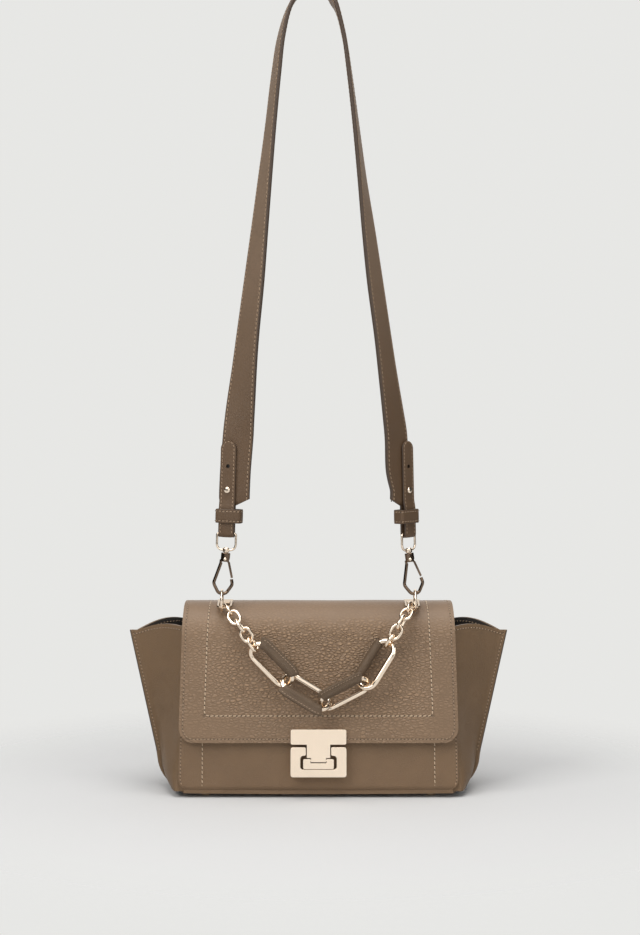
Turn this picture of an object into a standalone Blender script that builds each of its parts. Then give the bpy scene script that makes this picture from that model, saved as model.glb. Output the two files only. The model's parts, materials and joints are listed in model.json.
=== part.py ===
"""A flap handbag with pinched side gussets, a swag of large links and a shoulder strap on snap hooks.

The bag stands on four feet, its front faces -Y, and every length is in metres.
"""

import math

import bmesh
import bpy
from mathutils import Matrix, Vector

# Fits shared by several pieces
GAP = 0.0003
CHAIN_SLACK = 0.0010
LONG_LINK_SLACK = 0.0022

# Body: two leaning panels on a base tray
FOOT_HEIGHT = 0.0064
BODY_SHIFT = 0.0082
PANEL_THICKNESS = 0.0024
PANEL_TOP_HALF_WIDTH = 0.1125
PANEL_FLARE = 0.0023
PANEL_BOTTOM_HALF_WIDTH = PANEL_TOP_HALF_WIDTH + PANEL_FLARE
PANEL_CORNER = 0.009
BODY_BOTTOM_HALF_DEPTH = 0.0450
BODY_TOP_HALF_DEPTH = 0.0310
BACK_PANEL_TOP = 0.1498
FRONT_TOP_DROP = 0.0098
FRONT_PANEL_TOP = BACK_PANEL_TOP - FRONT_TOP_DROP
BASE_THICKNESS = 0.0024
BASE_POINT_REACH = 0.0032
BASE_POINT = PANEL_BOTTOM_HALF_WIDTH + BASE_POINT_REACH
BASE_SHOULDER_INSET = 0.0070
BASE_SHOULDER = BASE_POINT - BASE_SHOULDER_INSET
BASE_END_INSET = 0.0135
BASE_HALF_LENGTH = BASE_POINT - BASE_END_INSET
BASE_TURN_UP = 0.0110
BASE_BEND = 0.0040
BASE_FLOOR_THICKNESS = 0.0014
BOARD_THICKNESS = 0.0016
BOARD_END_INSET = 0.0065
BOARD_HALF_LENGTH = BASE_HALF_LENGTH - BOARD_END_INSET
BOARD_SIDE_INSET = 0.0120
BOARD_HALF_DEPTH = BODY_BOTTOM_HALF_DEPTH - BOARD_SIDE_INSET

# Gussets: each a leather V whose fold is pinched and stitched into a wing
GUSSET_THICKNESS = 0.0020
GUSSET_LAP = 0.0090
GUSSET_PINCH = 0.0060
GUSSET_PINCH_HALF = 0.0021
GUSSET_EDGE_SHARE = 0.8
GUSSET_TOP_DROP = 0.0020
GUSSET_TIP_DROP = 0.0066
GUSSET_TOP_AT_PANEL = FRONT_PANEL_TOP - GUSSET_TOP_DROP
GUSSET_TOP_AT_TIP = GUSSET_TOP_AT_PANEL - GUSSET_TIP_DROP
GUSSET_BOTTOM = 0.0092
GUSSET_TOP_REACH = 0.0460
GUSSET_TIP_TOP = PANEL_TOP_HALF_WIDTH + GUSSET_TOP_REACH
GUSSET_BOTTOM_REACH = 0.0047
GUSSET_TIP_BOTTOM = PANEL_BOTTOM_HALF_WIDTH + GUSSET_BOTTOM_REACH
GUSSET_TIP_RISE_SHARES = (0.0, 0.018, 0.07, 0.175, 0.45, 0.72, 1.0)
GUSSET_TIP_REACH_SHARES = (0.0, 0.17, 0.32, 0.44, 0.64, 0.82, 1.0)
GUSSET_SECTION_SHARES = (0.3, 0.58, 0.86)
GUSSET_LEAF_SHARES = (0.3, 0.65)
GUSSET_HOLLOW = 0.0022

# Lining: a thin bag inside the shell
LINING_THICKNESS = 0.0010
LINING_TOP_DROP = 0.0035
LINING_TOP = FRONT_PANEL_TOP - LINING_TOP_DROP
LINING_SIDE_INSET = 0.0115
LINING_CORNER_INSET = 0.0050
LINING_RISE_SHARES = (0.0, 0.05, 0.2, 0.6, 1.0)

# Feet
FOOT_RADIUS = 0.0048
FOOT_EDGE = 0.0012
FOOT_SHANK_RADIUS = 0.0013
FOOT_HEAD_RADIUS = 0.0030
FOOT_HEAD_HEIGHT = 0.0007
FOOT_END_INSET = 0.0055
FOOT_SPREAD = BOARD_HALF_LENGTH - FOOT_END_INSET
FOOT_SIDE_INSET = 0.0010
FOOT_DEPTH = BOARD_HALF_DEPTH - FOOT_SIDE_INSET
FOOT_HOLE_CLEARANCE = 0.0004

# Flap: outer leather and its lining, folded over the mouth
FLAP_THICKNESS = 0.0023
FLAP_LINING_THICKNESS = 0.0009
FLAP_SIDE_INSET = 0.0006
FLAP_TOP_HALF_WIDTH = PANEL_TOP_HALF_WIDTH - FLAP_SIDE_INSET
FLAP_FLARE = 0.0028
FLAP_BOTTOM_HALF_WIDTH = FLAP_TOP_HALF_WIDTH + FLAP_FLARE
FLAP_CORNER = 0.0125
FLAP_BOTTOM_HEIGHT = 0.0467
FLAP_BOTTOM_SHARE = (FLAP_BOTTOM_HEIGHT - FOOT_HEIGHT) / (FRONT_PANEL_TOP - FOOT_HEIGHT)
BODY_FLARE = BODY_BOTTOM_HALF_DEPTH - BODY_TOP_HALF_DEPTH
FLAP_BOTTOM_OUT = 0.0057
FLAP_BOTTOM_DEPTH = BODY_BOTTOM_HALF_DEPTH - BODY_FLARE * FLAP_BOTTOM_SHARE + FLAP_BOTTOM_OUT
FLAP_SHOULDER_OUT = 0.0055
FLAP_SHOULDER_DEPTH = BODY_TOP_HALF_DEPTH + FLAP_SHOULDER_OUT
FLAP_CROWN_RISE = 0.0072
FLAP_CROWN_HEIGHT = BACK_PANEL_TOP + FLAP_CROWN_RISE
FLAP_SHOULDER_BEND = 0.0300
FLAP_BACK_BEND = 0.0052
HINGE_OUT = 0.0024
HINGE_DEPTH = BODY_TOP_HALF_DEPTH + HINGE_OUT
HINGE_RISE = 0.0004
HINGE_HEIGHT = BACK_PANEL_TOP + HINGE_RISE
FLAP_LINING_INSET = 0.0030
FLAP_LINING_START = 0.0100
FLAP_CORNER_TURNS = (0.0, 25.0, 50.0, 72.0, 90.0)
FLAP_ACROSS_SHARES = (-1.0, -0.9, -0.45, 0.0, 0.45, 0.9, 1.0)

# Clasp: a T on the flap, its cross bar pivoting in a slotted catch
CLASP_PLATE_HALF_WIDTH = 0.0227
CLASP_PLATE_TOP = 0.0098
CLASP_PLATE_BOTTOM = -0.0024
CLASP_THICKNESS = 0.0025
CLASP_CORNER = 0.0012
STEM_HALF_WIDTH = 0.00955
STEM_BOTTOM = -0.0131
TONGUE_HALF_WIDTH = 0.0062
PIVOT_DROP = -0.0153
TONGUE_ROUND = 0.00125
BAR_HALF_WIDTH = 0.0125
BAR_TOP = -0.0140
BAR_BOTTOM = -0.0221
BAR_CORNER = 0.0012
PIN_RADIUS = 0.0006
PIN_HALF_LENGTH = 0.0112
PIN_CLEARANCE = 0.0003
CATCH_HALF_WIDTH = 0.0229
CATCH_TOP = -0.0045
CATCH_BOTTOM = -0.0288
CATCH_CORNER = 0.0020
SLOT_HALF_WIDTH = 0.01475
SLOT_TOP = -0.0115
SLOT_BOTTOM = -0.0225
SLOT_CORNER = 0.0022
SLOT_MOUTH_HALF_WIDTH = 0.01025
CATCH_RECESS = 0.0004
BACKING_THICKNESS = 0.0010
BACKING_INSET = 0.0030

# Anchors: plates on the flap's shoulder with a fixed loop
ANCHOR_PLATE_HALF_WIDTH = 0.0066
ANCHOR_PLATE_HALF_DEPTH = 0.0042
ANCHOR_PLATE_THICKNESS = 0.0016
ANCHOR_PLATE_ANGLE = 12.0
ANCHOR_LOOP_HALF_WIDTH = 0.0053
ANCHOR_LOOP_BEND = 0.0034
ANCHOR_WIRE = 0.0011
ANCHOR_FRONT_ANGLE = 41.0
ANCHOR_STAND_OFF = 0.0066
SIDE_BY_SIDE = 0.0019

# Small links
SMALL_WIRE = 0.00115
SMALL_WIDTH = 0.0110
SMALL_PITCH = 0.0092
SMALL_COUNT = 5
SMALL_RUN = SMALL_COUNT * SMALL_PITCH
SMALL_ROLLS = (106.0, 16.0, 106.0, 16.0, 113.0)
RUN_OUTWARD_SHARE = 1.0
RUN_ASIDE_SHARES = {-1: 0.0, 1: 0.12}
RUN_LIFT_SHARE = 0.3

# Large links and their leather sleeves
LARGE_WIRE = 0.0020
LARGE_WIDTH = 0.0200
LARGE_PITCH = 0.0360
LARGE_HEADINGS = (-45.0, -31.0, 27.0, 58.0)
LARGE_RUN = LARGE_PITCH * sum(math.cos(math.radians(heading)) for heading in LARGE_HEADINGS)
LARGE_RUN_ASIDE = 0.0027
LARGE_START_ASIDE = LARGE_RUN / 2 - LARGE_RUN_ASIDE
SMALL_RUN_DROP_SHARE = 0.77
LARGE_START_DROP = SMALL_RUN * SMALL_RUN_DROP_SHARE
SMALL_RUN_ASIDE_SHARE = 0.52
ANCHOR_SPREAD = LARGE_RUN / 2 + SMALL_RUN * SMALL_RUN_ASIDE_SHARE
LARGE_ROLLS = (26.0, -39.0, 42.0, -26.0)
LARGE_STAND_OFF = 0.0086
SLEEVE_SIDES = (1, -1, 1, 1)
SLEEVE_RADIUS = 0.0032
SLEEVE_BORE = 0.0023
SLEEVE_FLANGE = 0.0026
SLEEVE_FLANGE_HALF = 0.0008
SLEEVE_END_TURN = 28.0
SLEEVE_STEPS = 12

# Strap rings
RING_WIRE = 0.0011
RING_RADIUS = 0.0084
JOINT_GAP = 0.0003

# Snap hooks, drawn upwards from the ring
HOOK_WIRE = 0.0014
HOOK_BOTTOM_HALF = 0.0030
HOOK_WIDE_HALF = 0.0078
HOOK_WIDE_HEIGHT = 0.0080
HOOK_COLLAR_BOTTOM = 0.0265
HOOK_COLLAR_TOP = 0.0338
HOOK_COLLAR_RADIUS = 0.0038
HOOK_BEND = 0.0040
NOSE_HEIGHT = 0.0125
COLLAR_BORE = 0.0026
COLLAR_MOUTH = 0.0017
COLLAR_ROOF = 0.0018
COLLAR_WINDOW = 0.0012
COLLAR_SEAM = 7.0
HOLLOW_SEAM = 19.0
GATE_PIVOT_HEIGHT = 0.0288
GATE_HALF_THICKNESS = 0.0009
GATE_HALF_DEPTH = 0.0012
GATE_KNUCKLE = 0.0014
GATE_KNUCKLE_START_SHARE = 0.06
GATE_PIN_RADIUS = 0.0006
GATE_PIN_HALF_LENGTH = 0.0042
GATE_SLOT_HALF_DEPTH = 0.0016
GATE_GAP = 0.0004
SWIVEL_POST_RADIUS = 0.0013
SWIVEL_HEAD_RADIUS = 0.0022
SWIVEL_HEAD_HEIGHT = 0.0010
SWIVEL_BOSS_RADIUS = 0.0028
SWIVEL_BOSS_HEIGHT = 0.0040
SWIVEL_BOSS_TOP_SHARE = 0.7
SWIVEL_LOOP_HALF_WIDTH = 0.0080
SWIVEL_LOOP_BEND = 0.0045
SWIVEL_WIRE = 0.0010
SWIVEL_BAR_BEND_SHARE = 1.5
SWIVEL_BAR_HEIGHT = 0.0496
HOOK_LEANS = {-1: 5.5, 1: 8.5}

# Strap: a wide band with narrow ends that fold round the swivel bars
STRAP_WIDTH = 0.0260
STRAP_THICKNESS = 0.0034
TAB_WIDTH = 0.0132
TAB_THICKNESS = 0.0018
TAB_ASIDE = 0.0052
TAB_LENGTH = 0.0765
TAB_SETTLE = 0.0250
TAB_TIP_SHARES = (0.05, 0.2, 0.45, 0.75, 1.0)
CHAMFER_START = 0.0230
CHAMFER_END = 0.0290
STUD_HEIGHT = 0.0360
SPARE_HOLE_HEIGHT = 0.0555
STUD_SHANK = 0.0011
STUD_HEAD = 0.0026
STUD_HEAD_HEIGHT = 0.0014
STUD_DOME_SHARE = 0.55
SPARE_HOLE = 0.0016
KEEPER_HEIGHT = 0.0115
KEEPER_BOTTOM = 0.0088
KEEPER_HALF_WIDTH = 0.0108
KEEPER_HALF_DEPTH = 0.0053
KEEPER_WALL = 0.0016
KEEPER_CORNER = 0.0022
KEEPER_ASIDE = 0.0018
STRAP_RISE = 0.4570
STRAP_SPREAD = 0.0740
STRAP_CENTRE = -0.0040
RISE_SHARES = (0.12, 0.172, 0.215, 0.29, 0.36, 0.454, 0.547, 0.641, 0.734, 0.828, 0.90, 0.958)
LEFT_SPREAD_SHARES = (0.868, 0.842, 0.821, 0.776, 0.732, 0.664, 0.603, 0.542, 0.480, 0.418, 0.356, 0.24)
RIGHT_SPREAD_SHARES = (0.925, 0.915, 0.883, 0.820, 0.763, 0.681, 0.608, 0.536, 0.470, 0.398, 0.330, 0.22)
LEFT_TURNS = (12.0, 12.0, 22.0, 38.0, 46.0, 52.0, 60.0, 67.0, 73.0, 76.0, 80.0, 85.0)
RIGHT_TURNS = (46.0, 46.0, 50.0, 57.0, 61.0, 63.0, 69.0, 78.0, 83.0, 86.0, 88.0, 89.0)
FLAT_STATIONS = 3
END_TURNS = {-1: 12.0, 1: 46.0}
END_LEANS = {-1: 1.6, 1: 1.2}
STATIONS_BETWEEN = 5

# Modelling steps
MERGE = 0.000001
ROUND_STEPS = 6

# Finishes: colour, roughness and, for metal, how metallic
LEATHER_FINISH = ((0.245, 0.165, 0.108), 0.62)
STRAP_FINISH = ((0.20, 0.135, 0.09), 0.62)
LINING_FINISH = ((0.03, 0.02, 0.014), 0.9)
BOARD_FINISH = ((0.35, 0.27, 0.18), 0.9)
GOLD_FINISH = ((0.86, 0.66, 0.47), 0.22, 1.0)

LEFT, RIGHT = -1, 1
SIDE_NAMES = {LEFT: "left", RIGHT: "right"}
ORIGIN = Vector((0.0, 0.0, 0.0))
ACROSS = Vector((1.0, 0.0, 0.0))
BACKWARD = Vector((0.0, 1.0, 0.0))
UPWARD = Vector((0.0, 0.0, 1.0))


def clear_scene():
    for old in list(bpy.data.objects):
        bpy.data.objects.remove(old, do_unlink=True)


def new_collection(name, hidden=False):
    made = bpy.data.collections.new(name)
    bpy.context.scene.collection.children.link(made)
    made.hide_render = hidden
    return made


def new_material(name, colour, roughness, metallic=0.0):
    made = bpy.data.materials.new(name)
    made.use_nodes = True
    shader = made.node_tree.nodes["Principled BSDF"]
    shader.inputs["Base Color"].default_value = (*colour, 1.0)
    shader.inputs["Roughness"].default_value = roughness
    shader.inputs["Metallic"].default_value = metallic
    made.diffuse_color = (*colour, 1.0)
    return made


clear_scene()
PARTS = new_collection("handbag")
CUTTERS = new_collection("cutters", hidden=True)


def finish(made, material, collection=None):
    """Links the object, gives it its own copy of the colour and returns it."""
    (collection or PARTS).objects.link(made)
    if material:
        made.data.materials.append(new_material(made.name + "_finish", *material))
    return made


def with_origin(made, origin):
    """Moves the object's origin to a point of the world without moving its shape."""
    place = made.matrix_world.copy()
    local = place.inverted() @ origin
    made.data.transform(Matrix.Translation(-local))
    made.matrix_world = place @ Matrix.Translation(local)
    return made


def mesh_object(name, vertices, faces, material, collection=None):
    data = bpy.data.meshes.new(name)
    data.from_pydata([tuple(v) for v in vertices], [], faces)
    work = bmesh.new()
    work.from_mesh(data)
    bmesh.ops.remove_doubles(work, verts=work.verts, dist=MERGE)
    bmesh.ops.recalc_face_normals(work, faces=work.faces)
    work.to_mesh(data)
    work.free()
    return finish(bpy.data.objects.new(name, data), material, collection)


def rounded_path(corners, bends, steps=ROUND_STEPS, closed=False):
    """The corners joined by straight runs, each inner corner replaced by an arc of its own radius."""
    count = len(corners)
    points = []
    for i, corner in enumerate(corners):
        if not closed and i in (0, count - 1):
            points.append(corner.copy())
            continue
        before = (corners[i - 1] - corner).normalized()
        after = (corners[(i + 1) % count] - corner).normalized()
        half = before.angle(after) / 2
        bend = bends[i]
        reach = bend / math.tan(half)
        middle = corner + (before + after).normalized() * (bend / math.sin(half))
        first = corner + before * reach - middle
        last = corner + after * reach - middle
        sweep = first.angle(last)
        for step in range(steps + 1):
            share = step / steps
            mixed = first * math.sin((1 - share) * sweep) + last * math.sin(share * sweep)
            points.append(middle + mixed / math.sin(sweep))
    return points


def spline_of(data, points, cyclic):
    spline = data.splines.new("POLY")
    spline.points.add(len(points) - 1)
    for held, point in zip(spline.points, points):
        held.co = (*point, 1.0)
    spline.use_cyclic_u = cyclic


def tube(name, points, radius, material, cyclic=False, sides_level=2, collection=None):
    """A round wire along the points."""
    data = bpy.data.curves.new(name, "CURVE")
    data.dimensions = "3D"
    data.bevel_depth = radius
    data.bevel_resolution = sides_level
    data.use_fill_caps = not cyclic
    data.twist_mode = "MINIMUM"
    spline_of(data, points, cyclic)
    return finish(bpy.data.objects.new(name, data), material, collection)


def plate(name, outline, thickness, place, material):
    """A flat piece with square edges from one closed outline in X and Y, centred on its thickness."""
    count = len(outline)
    rise = UPWARD * (thickness / 2)
    faces = [tuple(range(count))[::-1], tuple(range(count, 2 * count))]
    faces += [(i, (i + 1) % count, count + (i + 1) % count, count + i) for i in range(count)]
    vertices = [point - rise for point in outline] + [point + rise for point in outline]
    made = mesh_object(name, vertices, faces, material)
    made.matrix_world = place
    return made


def slab(name, outlines, thickness, place, material, edge=0.0, collection=None):
    """A flat sheet from closed outlines in X and Y, centred on its thickness, set by a matrix."""
    data = bpy.data.curves.new(name, "CURVE")
    data.dimensions = "2D"
    data.fill_mode = "BOTH"
    data.extrude = thickness / 2 - edge
    data.bevel_depth = edge
    data.bevel_resolution = 1
    for outline in outlines:
        spline_of(data, outline, True)
    made = finish(bpy.data.objects.new(name, data), material, collection)
    made.matrix_world = place
    return made


def as_mesh(made):
    """The same object with its evaluated shape as a mesh, so that it can take a cut or a join."""
    bpy.context.view_layer.update()
    graph = bpy.context.evaluated_depsgraph_get()
    data = bpy.data.meshes.new_from_object(made.evaluated_get(graph))
    work = bmesh.new()
    work.from_mesh(data)
    bmesh.ops.remove_doubles(work, verts=work.verts, dist=MERGE)
    bmesh.ops.recalc_face_normals(work, faces=work.faces)
    work.to_mesh(data)
    work.free()
    name, place, homes = made.name, made.matrix_world.copy(), list(made.users_collection)
    bpy.data.objects.remove(made, do_unlink=True)
    fresh = bpy.data.objects.new(name, data)
    fresh.matrix_world = place
    homes[0].objects.link(fresh)
    return fresh


def lathe(name, profile, place, material, steps=14, collection=None):
    """A turned piece: the profile's radii and heights, from top to bottom, about the matrix's Z axis."""
    data = bpy.data.meshes.new(name)
    data.from_pydata(
        [(radius, 0.0, height) for radius, height in profile],
        [(i, i + 1) for i in range(len(profile) - 1)],
        [],
    )
    made = finish(bpy.data.objects.new(name, data), material, collection)
    made.matrix_world = place
    turned = made.modifiers.new("turned", "SCREW")
    turned.axis = "Z"
    turned.steps = turned.render_steps = steps
    turned.use_merge_vertices = True
    turned.merge_threshold = MERGE
    return made


def boolean(made, other, operation):
    other.display_type = "WIRE"
    other.hide_render = True
    for home in list(other.users_collection):
        home.objects.unlink(other)
    CUTTERS.objects.link(other)
    cut = made.modifiers.new(operation.lower(), "BOOLEAN")
    cut.operation = operation
    cut.solver = "EXACT"
    cut.object = other
    weld = made.modifiers.new("weld", "WELD")
    weld.merge_threshold = MERGE


def frame(origin, across, up):
    """A matrix whose X is across, Y is up and Z is their cross product."""
    x = across.normalized()
    z = x.cross(up).normalized()
    y = z.cross(x)
    return Matrix.Translation(origin) @ Matrix((x, y, z)).transposed().to_4x4()


def rectangle(half_width, bottom, top, corner):
    corners = [
        Vector((-half_width, bottom, 0.0)),
        Vector((half_width, bottom, 0.0)),
        Vector((half_width, top, 0.0)),
        Vector((-half_width, top, 0.0)),
    ]
    return rounded_path(corners, [corner] * len(corners), steps=4, closed=True)


def box(name, half_sizes, place, collection=None):
    data = bpy.data.meshes.new(name)
    work = bmesh.new()
    bmesh.ops.create_cube(work, size=2.0, matrix=Matrix.Diagonal((*half_sizes, 1.0)))
    work.to_mesh(data)
    work.free()
    made = finish(bpy.data.objects.new(name, data), None, collection or CUTTERS)
    made.matrix_world = place
    return made


def cylinder(name, radius, half_length, place, material=None, collection=None):
    """A plain round pin about the matrix's Z axis."""
    data = bpy.data.meshes.new(name)
    work = bmesh.new()
    bmesh.ops.create_cone(
        work, cap_ends=True, segments=14, radius1=radius, radius2=radius, depth=2 * half_length
    )
    work.to_mesh(data)
    work.free()
    made = finish(bpy.data.objects.new(name, data), material, collection or CUTTERS)
    made.matrix_world = place
    return made


def panel_depth(height):
    """How far the panels' outer faces stand from the middle at a height."""
    share = (height - FOOT_HEIGHT) / (FRONT_PANEL_TOP - FOOT_HEIGHT)
    return BODY_BOTTOM_HALF_DEPTH + (BODY_TOP_HALF_DEPTH - BODY_BOTTOM_HALF_DEPTH) * share


PANEL_LEAN = math.atan2(BODY_BOTTOM_HALF_DEPTH - BODY_TOP_HALF_DEPTH, FRONT_PANEL_TOP - FOOT_HEIGHT)


def make_panel(name, side, top):
    """One leaning panel: side -1 is the front and 1 the back."""
    rise = (top - FOOT_HEIGHT) / math.cos(PANEL_LEAN)
    corners = [
        Vector((-PANEL_BOTTOM_HALF_WIDTH, 0.0, 0.0)),
        Vector((PANEL_BOTTOM_HALF_WIDTH, 0.0, 0.0)),
        Vector((PANEL_TOP_HALF_WIDTH, rise, 0.0)),
        Vector((-PANEL_TOP_HALF_WIDTH, rise, 0.0)),
    ]
    outline = rounded_path(corners, [PANEL_CORNER, PANEL_CORNER, GAP, GAP], closed=True)
    up = Vector((0.0, -side * math.sin(PANEL_LEAN), math.cos(PANEL_LEAN)))
    inward = Vector((0.0, -side * math.cos(PANEL_LEAN), -math.sin(PANEL_LEAN)))
    foot = Vector((0.0, side * BODY_BOTTOM_HALF_DEPTH, FOOT_HEIGHT))
    place = frame(foot + inward * (PANEL_THICKNESS / 2), ACROSS, up)
    return slab(name, [outline], PANEL_THICKNESS, place, LEATHER_FINISH, edge=PANEL_THICKNESS / 4)


def make_base():
    """The tray under the bag: a flat bottom with its long edges turned up inside the panels."""
    step_in = PANEL_THICKNESS + GAP
    low = FOOT_HEIGHT
    high = FOOT_HEIGHT + BASE_TURN_UP
    outer = [
        Vector((0.0, -panel_depth(high) + step_in, high)),
        Vector((0.0, -panel_depth(low) + step_in, low)),
        Vector((0.0, panel_depth(low) - step_in, low)),
        Vector((0.0, panel_depth(high) - step_in, high)),
    ]
    line = rounded_path(outer, [BASE_BEND] * len(outer))
    rows = [[point + ACROSS * x for x in (-BASE_HALF_LENGTH, BASE_HALF_LENGTH)] for point in line]
    made = sheet("base_panel", rows, BASE_THICKNESS, LEATHER_FINISH)
    depth = panel_depth(low + BASE_THICKNESS) - step_in - GAP
    corners = [
        Vector((BASE_POINT, 0.0, 0.0)),
        Vector((BASE_SHOULDER, depth, 0.0)),
        Vector((-BASE_SHOULDER, depth, 0.0)),
        Vector((-BASE_POINT, 0.0, 0.0)),
        Vector((-BASE_SHOULDER, -depth, 0.0)),
        Vector((BASE_SHOULDER, -depth, 0.0)),
    ]
    middle = Vector((0.0, 0.0, low + BASE_THICKNESS / 2))
    ends = plate("base_ends", corners, BASE_FLOOR_THICKNESS, Matrix.Translation(middle), None)
    boolean(made, ends, "UNION")
    return made


def sheet(name, rows, thickness, material, offset=None):
    """A leather or cloth sheet from rows of points, thickened behind its outer face."""
    width = len(rows[0])
    faces = [
        (r * width + c, r * width + c + 1, (r + 1) * width + c + 1, (r + 1) * width + c)
        for r in range(len(rows) - 1)
        for c in range(width - 1)
    ]
    made = mesh_object(name, [point for row in rows for point in row], faces, material)
    aim_outward(made)
    thick = made.modifiers.new("thickness", "SOLIDIFY")
    thick.thickness = thickness
    thick.offset = -1.0 if offset is None else offset
    thick.use_even_offset = True
    return made


def aim_outward(made):
    """Turns an open sheet so that its faces look away from the middle of the bag."""
    middle = Vector((0.0, 0.0, FRONT_PANEL_TOP / 2))
    facing = sum(face.area * face.normal.dot(face.center - middle) for face in made.data.polygons)
    if facing < 0.0:
        made.data.flip_normals()


def table(places, values, at):
    """Straight-line reading of a table of values at a place."""
    for i in range(len(places) - 1):
        if at <= places[i + 1]:
            share = (at - places[i]) / (places[i + 1] - places[i])
            return values[i] + (values[i + 1] - values[i]) * share
    return values[-1]


def tip_reach(rise_share):
    return GUSSET_TIP_BOTTOM + (GUSSET_TIP_TOP - GUSSET_TIP_BOTTOM) * table(
        GUSSET_TIP_RISE_SHARES, GUSSET_TIP_REACH_SHARES, rise_share
    )


def gusset_row(side, share):
    """Outer and inner points, in pairs, across one gusset at a share of its height."""
    at_panel = GUSSET_BOTTOM + (GUSSET_TOP_AT_PANEL - GUSSET_BOTTOM) * share
    at_tip = GUSSET_BOTTOM + (GUSSET_TOP_AT_TIP - GUSSET_BOTTOM) * share
    edge = panel_depth(at_panel) - PANEL_THICKNESS - 2 * GAP
    reach = tip_reach(share)
    leave = table((0.0, 1.0), (PANEL_BOTTOM_HALF_WIDTH, PANEL_TOP_HALF_WIDTH), share)
    pinch = reach - GUSSET_PINCH * (1 - share) / 2 - GUSSET_PINCH * share
    outer = [(leave - GUSSET_LAP, edge, 0.0), (leave, edge, 0.0)]
    inner = [
        (leave - GUSSET_LAP, edge - GUSSET_THICKNESS, 0.0),
        (leave - GUSSET_THICKNESS / 2, edge - GUSSET_THICKNESS, 0.0),
    ]
    for part in GUSSET_LEAF_SHARES:
        x = leave + (pinch - leave) * part
        y = edge + (GUSSET_PINCH_HALF - edge) * part - GUSSET_HOLLOW * math.sin(math.pi * part)
        outer.append((x, y, part))
        inner.append((x - GUSSET_THICKNESS, max(y - GUSSET_THICKNESS, GAP), part))
    outer += [(pinch, GUSSET_PINCH_HALF, 1.0), (reach, GUSSET_PINCH_HALF * GUSSET_EDGE_SHARE, 1.0)]
    apex = (pinch - GUSSET_THICKNESS * 2, 0.0, 1.0)
    inner += [apex, apex]

    def placed(spot, turn):
        x, y, part = spot
        return Vector((side * x, turn * y, at_panel + (at_tip - at_panel) * part))

    front = [(placed(o, -1), placed(i, -1)) for o, i in zip(outer, inner)]
    back = [(placed(o, 1), placed(i, 1)) for o, i in zip(outer, inner)]
    return front + back[::-1]


def make_gusset(side):
    shares = sorted(set(GUSSET_TIP_RISE_SHARES) | set(GUSSET_SECTION_SHARES))
    rows = [gusset_row(side, share) for share in shares]
    pairs = len(rows[0])
    vertices, faces = [], []
    for row in rows:
        for outer, inner in row:
            vertices += [outer, inner]

    def at(r, c, inside):
        return (r * pairs + c) * 2 + inside

    for r in range(len(rows) - 1):
        for c in range(pairs - 1):
            for inside in (0, 1):
                faces.append(
                    (at(r, c, inside), at(r, c + 1, inside), at(r + 1, c + 1, inside), at(r + 1, c, inside))
                )
        for c in (0, pairs - 1):
            faces.append((at(r, c, 0), at(r, c, 1), at(r + 1, c, 1), at(r + 1, c, 0)))
    for r in (0, len(rows) - 1):
        for c in range(pairs - 1):
            faces.append((at(r, c, 0), at(r, c + 1, 0), at(r, c + 1, 1), at(r, c, 1)))
    return mesh_object(SIDE_NAMES[side] + "_gusset", vertices, faces, LEATHER_FINISH)


def lining_floor():
    return FOOT_HEIGHT + BASE_THICKNESS + BOARD_THICKNESS + 3 * GAP


def make_lining():
    """An open thin bag that follows the shell's V-shaped ends."""
    floor = lining_floor()
    rows = []
    for share in LINING_RISE_SHARES:
        height = floor + (LINING_TOP - floor) * share
        body_share = (height - GUSSET_BOTTOM) / (GUSSET_TOP_AT_TIP - GUSSET_BOTTOM)
        depth = panel_depth(height) - PANEL_THICKNESS - GUSSET_THICKNESS - 4 * GAP
        depth -= LINING_CORNER_INSET * (1 - share) / 4
        corner = PANEL_TOP_HALF_WIDTH - GUSSET_THICKNESS - LINING_CORNER_INSET
        reach = tip_reach(min(body_share, 1.0))
        tip = max(reach - LINING_SIDE_INSET - GUSSET_PINCH * share, corner + GAP)
        front = [(-corner, -depth), (corner, -depth), (tip, 0.0)]
        shape = front + [(-x, -y) for x, y in front]
        rows.append([Vector((x, y, height)) for x, y in shape])
    sides = len(rows[0])
    faces = [
        tuple(k * sides + d % sides for k, d in ((r, c), (r, c + 1), (r + 1, c + 1), (r + 1, c)))
        for r in range(len(rows) - 1)
        for c in range(sides)
    ]
    faces.append(tuple(range(sides)))
    made = mesh_object("lining", [p for row in rows for p in row], faces, LINING_FINISH)
    aim_outward(made)
    thick = made.modifiers.new("thickness", "SOLIDIFY")
    thick.thickness = LINING_THICKNESS
    thick.offset = -1.0
    thick.use_even_offset = True
    return made


def foot_spots():
    for x_side, x_name in SIDE_NAMES.items():
        for y_side, y_name in ((-1, "front"), (1, "back")):
            yield f"foot_{y_name}_{x_name}", x_side * FOOT_SPREAD, y_side * FOOT_DEPTH


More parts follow.
